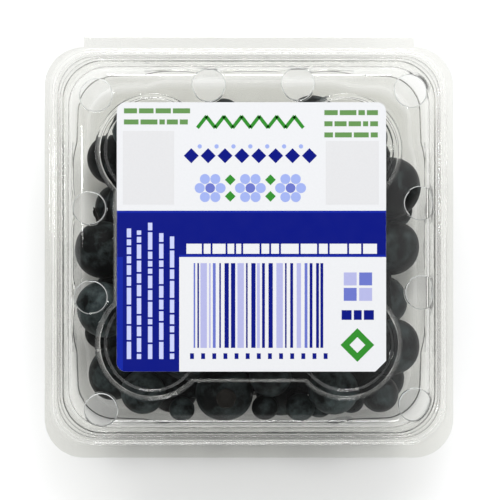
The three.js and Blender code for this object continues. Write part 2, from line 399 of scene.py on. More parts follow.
@dataclass(frozen=True)
class ClearFilm:
    """Thin clear sheet that bends light at its folds and lets the lamps reach what is under it."""

    name: str = "clear_film"
    tint: tuple[float, float, float] = (0.958, 0.958, 0.940)
    shade: tuple[float, float, float] = (0.94, 0.94, 0.93)
    index: float = 1.5
    roughest: float = 0.004
    patches: float = 240
    waves: float = 45
    wave_strength: float = 0.2
    wave_depth: float = 0.0003

    def material(self) -> bpy.types.Material:
        """Return the material."""
        recipe = Recipe(self.name)
        ray = recipe.node("ShaderNodeLightPath").outputs
        wavy = recipe.bump(recipe.noise(self.waves, 1), self.wave_strength, self.wave_depth)
        glass = recipe.node(
            "ShaderNodeBsdfPrincipled",
            Base_Color=(*self.tint, 1),
            Roughness=recipe.level(recipe.noise(self.patches, 4), 0.45, 0.8, 0, self.roughest),
            IOR=self.index,
            Transmission_Weight=1.0,
            Normal=wavy,
        ).outputs[0]
        clear = recipe.node("ShaderNodeBsdfTransparent", Color=(*self.shade, 1)).outputs[0]
        soft = recipe.mix(ray["Is Diffuse Ray"], glass, clear)
        return recipe.done(recipe.mix(ray["Is Shadow Ray"], soft, clear))


@dataclass(frozen=True)
class CutEdgeAndGlint:
    """The edge where the clear sheet was cut: a little milky, and painted whiter still as a stand-in for the
    bright glint along the rims.
    """

    name: str = "cut_edge_and_glint"
    # the white is partly the cut's own milkiness and partly a painted highlight for the glint along the rims
    milky_and_glint: tuple[float, float, float] = (0.72, 0.74, 0.74)
    shade: tuple[float, float, float] = (0.85, 0.87, 0.87)
    darker: float = 0.86
    rough: float = 0.25
    grain: float = 1400
    cover: float = 0.55

    def material(self) -> bpy.types.Material:
        """Return the material."""
        recipe = Recipe(self.name)
        grain = recipe.noise(self.grain, 3)
        white = recipe.ramp(grain, 0.3, 0.7, [c * self.darker for c in self.milky_and_glint], self.milky_and_glint)
        solid = recipe.node("ShaderNodeBsdfPrincipled", Base_Color=white, Roughness=self.rough).outputs[0]
        clear = recipe.node("ShaderNodeBsdfTransparent", Color=(*self.shade, 1)).outputs[0]
        cover = recipe.level(grain, 0.2, 0.8, self.cover * 0.8, self.cover * 1.2)
        return recipe.done(recipe.mix(cover, clear, solid))


@dataclass(frozen=True)
class BerrySkin:
    """Near-black fruit skin under a thin, uneven grey-blue bloom."""

    name: str = "berry_skin"
    skin: tuple[float, float, float] = (0.0012, 0.0016, 0.0018)
    bloom: tuple[float, float, float] = (0.050, 0.066, 0.068)
    crown: tuple[float, float, float] = (0.021, 0.019, 0.017)
    clouds: float = 170
    differ: tuple[float, float] = (0.85, 1.15)
    bloom_between: tuple[float, float] = (0.45, 0.70)
    rough: tuple[float, float] = (0.42, 0.66)
    pits: float = 420
    pit_strength: float = 0.15
    pit_depth: float = 0.0002
    shine: float = 0.1

    def material(self) -> bpy.types.Material:
        """Return the material."""
        recipe = Recipe(self.name)
        own = recipe.node("ShaderNodeAttribute", {"attribute_name": "shade"}).outputs["Fac"]
        mark = recipe.node("ShaderNodeAttribute", {"attribute_name": "crown"}).outputs["Fac"]
        differ = recipe.level(own, 0, 1, *self.differ)
        cloud = recipe.sum("MULTIPLY", recipe.noise(self.clouds, 6, 0.66), differ)
        skin = recipe.ramp(cloud, *self.bloom_between, self.skin, self.bloom)
        colour = recipe.node("ShaderNodeMix", {"data_type": "RGBA"}, i0=mark, i6=skin, i7=(*self.crown, 1))
        rough = recipe.level(cloud, 0.36, 0.74, *self.rough)
        pits = recipe.bump(recipe.noise(self.pits, 2), self.pit_strength, self.pit_depth)
        shader = recipe.node(
            "ShaderNodeBsdfPrincipled",
            Base_Color=colour.outputs[2],
            Roughness=rough,
            Normal=pits,
            Specular_IOR_Level=self.shine,
        )
        return recipe.done(shader.outputs[0])


@dataclass(frozen=True)
class Coated:
    """Coated paper, bare or under one ink."""

    name: str
    colour: tuple[float, float, float]
    rough: float = 0.42
    uneven: float = 0.02
    fibres: float = 1700
    fibre_strength: float = 0.06
    fibre_depth: float = 0.00004
    rough_differs: float = 0.15
    shine: float = 0.15

    def material(self) -> bpy.types.Material:
        """Return the material."""
        recipe = Recipe(self.name)
        fibre = recipe.noise(self.fibres, 4, 0.6)
        faint = [c * (1 - self.uneven) for c in self.colour]
        smoothest, roughest = self.rough * (1 - self.rough_differs), self.rough * (1 + self.rough_differs)
        shader = recipe.node(
            "ShaderNodeBsdfPrincipled",
            Base_Color=recipe.ramp(fibre, 0.35, 0.65, faint, self.colour),
            Roughness=recipe.level(recipe.noise(300, 2), 0.3, 0.7, smoothest, roughest),
            Normal=recipe.bump(fibre, self.fibre_strength, self.fibre_depth),
            Specular_IOR_Level=self.shine,
        )
        return recipe.done(shader.outputs[0])


@dataclass(frozen=True)
class Ring:
    """One turn of a formed sheet: half its width, its height, and how far its sides stand out."""

    half: float
    z: float
    bulge: float = 0.0
    front: float | None = None
    back: float | None = None

    def reach(self, axis: int, sign: int) -> float:
        """Return how far the ring reaches along an axis, towards one sign."""
        special = self.front if sign < 0 else self.back
        return special if axis == 1 and special is not None else self.half

    def far(self, other: "Ring") -> float:
        """Return how far another ring is from this one, along the profile."""
        return math.dist((self.half, self.z), (other.half, other.z))


def offset(profile: Sequence[Ring], distance: float) -> list[Ring]:
    """Move a profile along its own normals.

    Args:
        profile: its rings, running outwards.
        distance: how far, upwards if positive.

    Returns:
        The moved rings.
    """
    normals = []
    for a, b in zip(profile, profile[1:]):
        length = math.hypot(b.half - a.half, b.z - a.z) or 1.0
        normals.append(((a.z - b.z) / length, (b.half - a.half) / length))
    moved = []
    for i, ring in enumerate(profile):
        before, after = normals[max(i - 1, 0)], normals[min(i, len(normals) - 1)]
        nx, nz = before[0] + after[0], before[1] + after[1]
        share = 2 * distance / (nx * nx + nz * nz)
        moved.append(replace(ring, half=ring.half + nx * share, z=ring.z + nz * share))
    return moved


def soften(profile: Sequence[Ring], radius: float, steps: int = 4, most: float = 0.45) -> list[Ring]:
    """Round the bends of a profile, but for its ends.

    Args:
        profile: its rings.
        radius: how far from a bend the rounding starts.
        steps: rings for each bend.
        most: the largest share of a straight that one rounding takes.

    Returns:
        The rings of the softened profile.
    """
    made = [profile[0]]
    for a, b, c in zip(profile, profile[1:], profile[2:]):
        cut = min(radius, most * a.far(b), most * b.far(c))
        start, end = toward(b, a, cut), toward(b, c, cut)
        for i in range(steps + 1):
            t = i / steps
            half = (1 - t) ** 2 * start[0] + 2 * t * (1 - t) * b.half + t * t * end[0]
            z = (1 - t) ** 2 * start[1] + 2 * t * (1 - t) * b.z + t * t * end[1]
            made.append(replace(b, half=half, z=z))
    return [*made, profile[-1]]


def toward(start: Ring, end: Ring, distance: float) -> tuple[float, float]:
    """Return the half width and height at a distance from one ring towards another."""
    share = distance / (start.far(end) or 1.0)
    return start.half + (end.half - start.half) * share, start.z + (end.z - start.z) * share


@dataclass
class SheetForm:
    """Makes rounded-square sheets ring by ring."""

    corner: float = 11.0
    arc_steps: int = 14
    side_cuts: int = 23
    bulge_from: float = 32.0
    bulge_full: float = 24.0
    full_share: float = 0.71
    side_from: float = 0.3

    def first(self, name: str, ring: Ring) -> bpy.types.Object:
        """Lay out the first ring.

        Args:
            name: the sheet's name.
            ring: the ring.

        Returns:
            The object, a closed loop of edges.
        """
        clear_selection()
        bpy.ops.mesh.primitive_plane_add(size=2 * ring.half * MM, location=(0, 0, ring.z * MM))
        obj = placed(name)
        with Bench(obj) as bench:
            bench.pick_all()
            bpy.ops.mesh.bevel(offset=self.corner * MM, segments=self.arc_steps, affect="VERTICES")
            bench.pick_all("FACE")
            bpy.ops.mesh.delete(type="ONLY_FACE")
            bench.pick("EDGE", lambda e: e.calc_length() > self.side_from * self.corner * MM)
            bpy.ops.mesh.subdivide(number_cuts=self.side_cuts)
            bench.pick_all("EDGE")
            self.swell(bench, ring.bulge)
        return obj

    def swell(self, bench: Bench, bulge: float) -> None:
        """Push the middle of each side of the picked ring out.

        Args:
            bench: the open sheet.
            bulge: how far, inwards if negative.
        """
        mesh = bmesh.from_edit_mesh(bench.obj.data)
        for v in mesh.verts:
            if bulge and v.select:
                out, along = (0, 1) if abs(v.co.x) > abs(v.co.y) else (1, 0)
                u = (self.bulge_from - abs(v.co[along]) / MM) / (self.bulge_from - self.bulge_full)
                share = min(max(u, 0.0), 1.0)
                v.co[out] += math.copysign(1, v.co[out]) * bulge * share * share * (3 - 2 * share) * MM
        bmesh.update_edit_mesh(bench.obj.data)

    def carry_on(self, bench: Bench, rings: Sequence[Ring]) -> None:
        """Extend the picked edge of a sheet ring by ring.

        Args:
            bench: the open sheet, its edge picked.
            rings: the ring that is there, and those to add.
        """
        for before, after in zip(rings, rings[1:]):
            rise = {"value": (0, 0, (after.z - before.z) * MM)}
            bpy.ops.mesh.extrude_edges_move(TRANSFORM_OT_translate=rise)
            added = bench.picked()
            for axis, sign in ((0, 1), (0, -1), (1, 1), (1, -1)):
                start, end = before.reach(axis, sign), after.reach(axis, sign)
                edge = (start - self.corner) * MM - 1e-6
                bench.pick_of(added, lambda co: co[axis] * sign > edge)
                step = [0.0, 0.0]
                step[axis] = sign * (end - start) * MM
                bench.shift(*step)
            bench.pick_of(added, lambda co: True)
            self.swell(bench, after.bulge - before.bulge)

    def block(self, name: str, rings: Sequence[Ring]) -> bpy.types.Object:
        """Make a closed block through rings.

        Args:
            name: the block's name.
            rings: its rings.

        Returns:
            The block.
        """
        obj = self.first(name, rings[0])
        with Bench(obj) as bench:
            bench.pick_all("EDGE")
            bpy.ops.mesh.edge_face_add()
            bench.pick_all("EDGE")
            self.carry_on(bench, rings)
            bpy.ops.mesh.edge_face_add()
            bench.outward()
        return obj

    def open_end(self, bench: Bench, ring: Ring) -> None:
        """Take off the cap at a ring and pick the edge that it leaves.

        Args:
            bench: the open block.
            ring: the ring that the cap is at.
        """
        level = ring.z * MM
        bench.pick("FACE", lambda f: all(abs(v.co.z - level) < 1e-6 for v in f.verts))
        bpy.ops.mesh.delete(type="FACE")
        bench.pick("EDGE", lambda e: e.is_boundary and all(abs(v.co.z - level) < 1e-6 for v in e.verts))


@dataclass(frozen=True)
class Clover:
    """A square panel with a disc at each corner."""

    rise: float
    square_foot: float
    square_top: float
    disc_foot: float
    disc_top: float
    disc_at: float
    corner_cut: float = 0.8

    def solid(self, name: str, z0: float, z1: float) -> bpy.types.Object:
        """Make the panel as a solid.

        Args:
            name: the solid's name.
            z0: height of its foot.
            z1: height of its top.

        Returns:
            The solid.
        """
        foot, top = self.square_foot * MM, self.square_top * MM
        clear_selection()
        bpy.ops.mesh.primitive_cube_add(size=2 * foot, location=(0, 0, (z0 + z1) / 2 * MM))
        made = placed(name)
        with Bench(made) as bench:
            bench.pick_all()
            bench.grow(1, 1, (z1 - z0) * MM / (2 * foot), Vector((0, 0, (z0 + z1) / 2 * MM)))
            bench.pick("VERT", lambda v: v.co.z > (z0 + z1) / 2 * MM)
            bench.grow(top / foot, top / foot, 1)
            bench.pick("EDGE", lambda e: abs(e.verts[0].co.z - e.verts[1].co.z) > (z1 - z0) * MM / 2)
            bpy.ops.mesh.bevel(offset=self.disc_foot * self.corner_cut * MM, segments=1, affect="EDGES")
        for x, y in four_corners(self.disc_at):
            combine(made, stump(x, y, self.disc_foot, self.disc_top, z0, z1), "UNION")
        return made


def four_corners(at: float) -> list[tuple[float, float]]:
    """Return the corners of a square round the middle."""
    return [(at, at), (-at, at), (-at, -at), (at, -at)]


def stump(
    x: float, y: float, foot: float, top: float, z0: float, z1: float, sides: int = 72
) -> bpy.types.Object:
    """Make an upright cone stump.

    Args:
        x: its middle.
        y: its middle.
        foot: radius at z0.
        top: radius at z1.
        z0: height of its foot.
        z1: height of its top.
        sides: how many sides it has.

    Returns:
        The solid.
    """
    clear_selection()
    bpy.ops.mesh.primitive_cone_add(
        vertices=sides,
        radius1=foot * MM,
        radius2=top * MM,
        depth=(z1 - z0) * MM,
        location=(x * MM, y * MM, (z0 + z1) / 2 * MM),
    )
    return placed("stump")


@dataclass
class Sheet:
    """Sizes that the tray and the lid share."""

    thick: float = 0.45
    film: float = 0.32
    clearance: float = 0.3
    rim_z: float = 27.0
    bead: tuple[tuple[float, float], ...] = ((53.2, 0.0), (53.6, 1.1), (54.7, 1.1), (55.2, 0.0))
    flange: float = 57.5
    front: float = 59.3
    back: float = 56.3
    bend: float = 0.85
    bevel: float = 0.27
    hinge_half: float = 46.5
    hinge_gap: float = 0.04
    inset: float = 1.0
    slack: float = 0.1
    flat_angle: float = 0.1
    bend_angle: float = 14.0
    merge: float = 0.12
    form: SheetForm = field(default_factory=SheetForm)

    @property
    def hinge_y(self) -> float:
        """Return how far back the hinge's axis is."""
        return self.front - self.thick

    @property
    def hinge_z(self) -> float:
        """Return the height of the hinge's axis."""
        return self.rim_z + self.clearance / 2

    def rim(self) -> list[Ring]:
        """Return the top of the tray's rim, from its ledge out."""
        rings = [Ring(half, self.rim_z + rise) for half, rise in self.bead]
        return [*rings, Ring(self.flange, self.rim_z, front=self.front, back=self.back)]

    def hinge_strip(self, bench: Bench) -> None:
        """Extend the flange's back edge to just short of the hinge's axis.

        Args:
            bench: the open sheet.
        """
        edge, half = (self.back - NEAR) * MM, (self.hinge_half + NEAR) * MM
        bench.pick(
            "EDGE",
            lambda e: e.is_boundary and all(v.co.y > edge and abs(v.co.x) < half for v in e.verts),
        )
        forward = {"value": (0, (self.hinge_y - self.hinge_gap - self.back) * MM, 0)}
        bpy.ops.mesh.extrude_edges_move(TRANSFORM_OT_translate=forward)

    def round_bends(self, bench: Bench, width: float, low: float, high: float) -> None:
        """Bevel the sharp edges of what a boolean has added near the middle.

        Args:
            bench: the open sheet.
            width: half the width of the flat square that the edges are in.
            low: height of the lowest edges.
            high: height of the highest ones.
        """
        reach = (width - self.inset) * MM
        bottom, top = (low - self.slack) * MM, (high + self.slack) * MM

        def bent(edge: bmesh.types.BMEdge, least: float, most: float) -> bool:
            """Say whether an edge near the middle bends by an angle between two, in degrees."""
            inside = all(max(abs(v.co.x), abs(v.co.y)) < reach and bottom < v.co.z < top for v in edge.verts)
            pair = inside and len(edge.link_faces) == 2
            return pair and least <= math.degrees(edge.calc_face_angle()) < most

        bench.pick("EDGE", lambda e: bent(e, 0, self.flat_angle))
        bpy.ops.mesh.dissolve_limited(angle_limit=math.radians(self.flat_angle))
        bench.pick_all()
        bpy.ops.mesh.remove_doubles(threshold=self.merge * MM)
        bench.pick("EDGE", lambda e: bent(e, self.bend_angle, 181))
        bpy.ops.mesh.bevel(offset=self.bevel * MM, segments=3, affect="EDGES", clamp_overlap=False)

    def finish(
        self, obj: bpy.types.Object, up: bool, film: bpy.types.Material, edge: bpy.types.Material
    ) -> None:
        """Give a sheet its thickness and its materials.

        Args:
            obj: the open sheet.
            up: whether its outer face looks up.
            film: the clear material.
            edge: the material of cut edges.
        """
        with Bench(obj) as bench:
            bench.outward()
            mesh = bmesh.from_edit_mesh(obj.data)
            middle = min(mesh.faces, key=lambda f: f.calc_center_median().xy.length)
            if (middle.normal.z > 0) != up:
                bpy.ops.mesh.flip_normals()
        obj.data.materials.clear()
        obj.data.materials.append(film)
        obj.data.materials.append(edge)
        apply_modifier(
            obj,
            "SOLIDIFY",
            thickness=self.film * MM,
            offset=-1,
            use_even_offset=False,
            material_offset_rim=1,
        )
        smooth(obj)
        apply_modifier(obj, "WEIGHTED_NORMAL", keep_sharp=True, weight=80)


@dataclass
class Tray:
    """The deep lower half, with a stacking hollow under its floor and a ledge near its mouth."""

    sheet: Sheet
    floor_half: float = 46.4
    fillet: float = 3.0
    bulge: float = 1.7
    ledge_z: float = 19.0
    ledge_inner: float = 48.6
    ledge_outer: float = 51.1
    ledge_rise: float = 0.9
    mouth_half: float = 52.0
    mouth_drop: float = 0.8
    fillet_steps: int = 7
    cap_at: float = 8.0
    hollow_from: float = -1.0
    stack: Clover = Clover(
        rise=1.8, square_foot=38.9, square_top=38.3, disc_foot=16.4, disc_top=15.6, disc_at=27
    )

    def profile(self) -> list[Ring]:
        """Return the tray's outer face, from the floor out to the flange."""
        thick = self.sheet.thick
        rings = [Ring(self.floor_half - 2 * self.fillet, thick, self.bulge)]
        for i in range(self.fillet_steps + 1):
            a = i / self.fillet_steps * math.pi / 2
            half = self.floor_half - self.fillet * (1 - math.sin(a))
            rings.append(Ring(half, thick + self.fillet * (1 - math.cos(a)), self.bulge))
        slope = (self.ledge_inner - self.floor_half) / (self.ledge_z - thick - self.fillet)
        cap_half = self.floor_half + slope * (self.cap_at - thick - self.fillet)
        rings.append(Ring(cap_half, self.cap_at, self.bulge))
        bends = [
            rings[-1],
            Ring(self.ledge_inner, self.ledge_z, self.bulge),
            Ring(self.ledge_outer, self.ledge_z + self.ledge_rise),
            Ring(self.mouth_half, self.sheet.rim_z - self.mouth_drop),
            Ring(self.mouth_half + self.mouth_drop / 2, self.sheet.rim_z),
            *self.sheet.rim(),
        ]
        outer = offset([*rings, *bends[1:]], -thick)
        return [*outer[: len(rings)], *soften(outer[len(rings) - 1 :], self.sheet.bend)[1:]]

    def build(self, film: bpy.types.Material, edge: bpy.types.Material) -> bpy.types.Object:
        """Make the tray.

        Args:
            film: the clear material.
            edge: the material of cut edges.

        Returns:
            The finished piece.
        """
        rings = self.profile()
        split = self.fillet_steps + 2
        obj = self.sheet.form.block("tray_shell", rings[1 : split + 1])
        combine(obj, self.stack.solid("hollow", self.hollow_from, self.stack.rise), "DIFFERENCE")
        with Bench(obj) as bench:
            self.sheet.round_bends(bench, self.floor_half, 0.0, self.stack.rise)
            self.sheet.form.open_end(bench, rings[split])
            self.sheet.form.carry_on(bench, rings[split:])
            self.sheet.hinge_strip(bench)
        self.sheet.finish(obj, False, film, edge)
        return ride(obj, Body.TRAY, Slot.PLASTIC, "tray")


@dataclass
class Lid:
    """The vented upper half, with the raised panel that the label lies on."""

    sheet: Sheet
    rise: float = 11.6
    flat_half: float = 46.0
    shoulder: float = 4.6
    foot_half: float = 52.2
    shoulder_steps: int = 10
    cap_at: float = 3.0
    panel_sunk: float = 0.3
    panel: Clover = Clover(
        rise=1.6, square_foot=37.8, square_top=37.0, disc_foot=16.0, disc_top=14.7, disc_at=27
    )
    dish: float = 13.2
    dish_slope: float = 0.5
    dish_depth: float = 0.5
    vent: float = 4.7
    vent_lip: float = 0.13
    vent_round: float = 2.6
    vent_sides: int = 64
    vent_near: float = 0.5
    vent_corner: float = 43.8
    vent_side: float = 46.1
    vent_pair: float = 12.45
    vent_shift: tuple[float, float] = (1.9, -0.9)
    vent_turn: float = math.radians(0.85)
    vent_from: float = 3.2
    arrow: float = 3.2
    arrow_rise: float = 0.05
    arrow_top: float = 0.35
    arrow_y: float = -41.2
    arrow_flatten: float = 0.7

    @property
    def z(self) -> float:
        """Return the height of the underside of the lid's flange."""
        return self.sheet.rim_z + self.sheet.clearance

    @property
    def top(self) -> float:
        """Return the height of the lid's flat top."""
        return self.z + self.rise

    @property
    def panel_top(self) -> float:
        """Return the height of the raised panel."""
        return self.top + self.panel.rise

    def profile(self) -> list[Ring]:
        """Return the lid's outer face, from its flat top out to the flange."""
        rings = []
        for i in range(self.shoulder_steps + 1):
            a = i / self.shoulder_steps * math.pi / 2
            half = self.flat_half + self.shoulder * math.sin(a)
            rings.append(Ring(half, self.top - self.shoulder * (1 - math.cos(a))))
        up = self.sheet.clearance + self.sheet.thick
        ledge = Ring(self.sheet.bead[0][0] - 1, self.sheet.rim_z)
        over = offset([ledge, *self.sheet.rim()], up)[1:]
        foot = Ring(self.foot_half, self.z + self.sheet.thick)
        share = (rings[-1].z - self.z - self.cap_at) / (rings[-1].z - foot.z)
        rings.append(Ring(rings[-1].half + (foot.half - rings[-1].half) * share, self.z + self.cap_at))
        return [*rings, *soften([rings[-1], foot, *over], self.sheet.bend)[1:]]

    def arrow_solid(self) -> bpy.types.Object:
        """Return the raised triangle that marks the opening side."""
        clear_selection()
        bpy.ops.mesh.primitive_cone_add(
            vertices=3,
            radius1=self.arrow * MM,
            radius2=self.arrow * self.arrow_top * MM,
            depth=2 * self.arrow_rise * MM,
            location=(0, self.arrow_y * MM, self.top * MM),
        )
        made = placed("arrow")
        with Bench(made) as bench:
            bench.pick_all()
            bench.grow(1, self.arrow_flatten, 1, Vector((0, self.arrow_y * MM, 0)))
        return made

    def punch_vents(self, obj: bpy.types.Object, film: bpy.types.Material, edge: bpy.types.Material) -> None:
        """Cut the vents, which leaves pockets, and take the pockets' faces off.

        Args:
            obj: the closed block.
            film: its material.
            edge: the material that marks the pockets.
        """
        places = four_corners(self.vent_corner)
        for step in (-self.vent_pair, self.vent_pair):
            places += [(self.vent_side, step), (-self.vent_side, step), (step, self.vent_side)]
        c, s = math.cos(self.vent_turn), math.sin(self.vent_turn)
        dx, dy = self.vent_shift
        low, high = self.z + self.vent_from, self.z + 2 * self.rise
        centres = [(c * x - s * y + dx, s * x + c * y + dy) for x, y in places]
        holes = [stump(x, y, self.vent, self.vent, low, high, self.vent_sides) for x, y in centres]
        punch = join("punch", holes)
        with Bench(punch) as bench:
            bench.pick("EDGE", lambda e: all(v.co.z < (low + NEAR) * MM for v in e.verts))
            bpy.ops.mesh.bevel(offset=self.vent_round * MM, segments=6, affect="EDGES")
        punch.data.materials.append(edge)
        obj.data.materials.clear()
        obj.data.materials.append(film)
        combine(obj, punch, "DIFFERENCE")
        with Bench(obj) as bench:
            bench.pick("FACE", lambda f: f.material_index > 0)
            bpy.ops.mesh.delete(type="FACE")
            bench.pick("EDGE", lambda e: e.is_boundary)
            bpy.ops.mesh.extrude_edges_move(TRANSFORM_OT_translate={"value": (0, 0, -self.vent_lip * MM)})
            added = bench.picked()
            share = 1 - self.vent_lip / self.vent
            for x, y in centres:
                middle = Vector((x, y, 0)) * MM
                reach = (self.vent + self.vent_near) * MM
                bench.pick_of(added, lambda co: (co.xy - middle.xy).length < reach)
                bench.grow(share, share, 1, middle)

    def build(self, film: bpy.types.Material, edge: bpy.types.Material) -> bpy.types.Object:
        """Make the lid.

        Args:
            film: the clear material.
            edge: the material of cut edges.

        Returns:
            The finished piece.
        """
        rings = self.profile()
        split = self.shoulder_steps + 1
        obj = self.sheet.form.block("lid_shell", rings[: split + 1])
        combine(obj, self.panel.solid("panel", self.top - self.panel_sunk, self.panel_top), "UNION")
        combine(obj, self.arrow_solid(), "UNION")
        for x, y in four_corners(self.panel.disc_at):
            low, high = self.panel_top - self.dish_depth, self.panel_top + self.dish_depth
            hollow = stump(x, y, self.dish - self.dish_slope, self.dish + self.dish_slope, low, high)
            combine(obj, hollow, "DIFFERENCE")
        self.punch_vents(obj, film, edge)
        with Bench(obj) as bench:
            self.sheet.round_bends(bench, self.flat_half, self.top, self.panel_top)
            self.sheet.form.open_end(bench, rings[split])
            self.sheet.form.carry_on(bench, rings[split:])
            self.sheet.hinge_strip(bench)
        self.sheet.finish(obj, True, film, edge)
        return ride(obj, Body.LID, Slot.PLASTIC, "lid")


@dataclass
class HingeWeb:
    """The thin fold that joins the lid to the tray."""

    sheet: Sheet
    steps: int = 12
    thick: float = 0.12

    def build(self, film: bpy.types.Material) -> bpy.types.Object:
        """Make the fold.

        Args:
            film: the clear material.

        Returns:
            The finished piece.
        """
        sheet = self.sheet
        radius = (sheet.thick + sheet.clearance) / 2
        axis = Vector((0, sheet.hinge_y * MM, sheet.hinge_z * MM))
        clear_selection()
        bpy.ops.mesh.primitive_cylinder_add(
            vertices=2 * self.steps,
            radius=radius * MM,
            depth=2 * sheet.hinge_half * MM,
            location=axis,
            rotation=(0, math.pi / 2, 0),
        )
        obj = placed("hinge_web")
        with Bench(obj) as bench:
            bench.pick("FACE", lambda f: len(f.verts) > 4 or f.calc_center_median().y < axis.y)
            bpy.ops.mesh.delete(type="FACE")
        obj.data.materials.append(film)
        apply_modifier(obj, "SOLIDIFY", thickness=self.thick * MM, offset=0)
        smooth(obj, degrees=60)
        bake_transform(obj)
        return obj


@dataclass(frozen=True)
class Seen:
    """A berry that shows round the label: its place, width and layer, and its crown's lean if seen."""

    x: float
    y: float
    width: float
    layer: int
    lean: float | None = None
    heading: float | None = None


@dataclass
class Berry:
    """A berry as it settles."""

    x: float
    y: float
    z: float
    r: float
    layer: int
    home: tuple[float, float] | None
    lean: float | None = None
    heading: float | None = None
    flat: float = 1.0
    crown_shows: bool = False
    hidden_lean: float = 2.1

    def tilt(self) -> float:
        """Return how far the crown leans from upright. One that shouldn't show goes to the lower end."""
        if self.crown_shows:
            return self.lean
        lower = self.lean if self.lean > math.pi / 2 else math.pi - self.lean
        return math.copysign(max(lower, self.hidden_lean), self.lean - math.pi / 2)


LOWER, UPPER = 0, 1
SEEN = (
    Seen(-39.1, 24.4, 14.9, LOWER),
    Seen(-37.9, 11.2, 14.1, LOWER, 1.3, -1.24),
    Seen(-41.6, -0.8, 16.9, UPPER),
    Seen(-41.2, -17.7, 16.6, UPPER),
    Seen(-37.7, -35.7, 16.9, LOWER),
    Seen(-22.4, -39.6, 16.3, LOWER),
    Seen(-7, -42.2, 16.7, UPPER, 0.2, 0.4),
    Seen(9.4, -41.6, 15.7, LOWER, 0.62, 1.13),
    Seen(23.8, -40.4, 14.6, UPPER),
    Seen(37, -37.2, 15.2, LOWER),
    Seen(42.9, -28.2, 16.3, UPPER),
    Seen(38.5, -14.9, 14.6, LOWER),
    Seen(42.3, -0.6, 16.5, UPPER),
    Seen(39.8, 16.6, 18.8, UPPER),
    Seen(31.6, 30.6, 17, LOWER),
    Seen(18.5, 36.2, 15.2, UPPER),
    Seen(-31.2, 33, 16, UPPER),
    Seen(-7.9, 36.4, 12.9, UPPER),
)


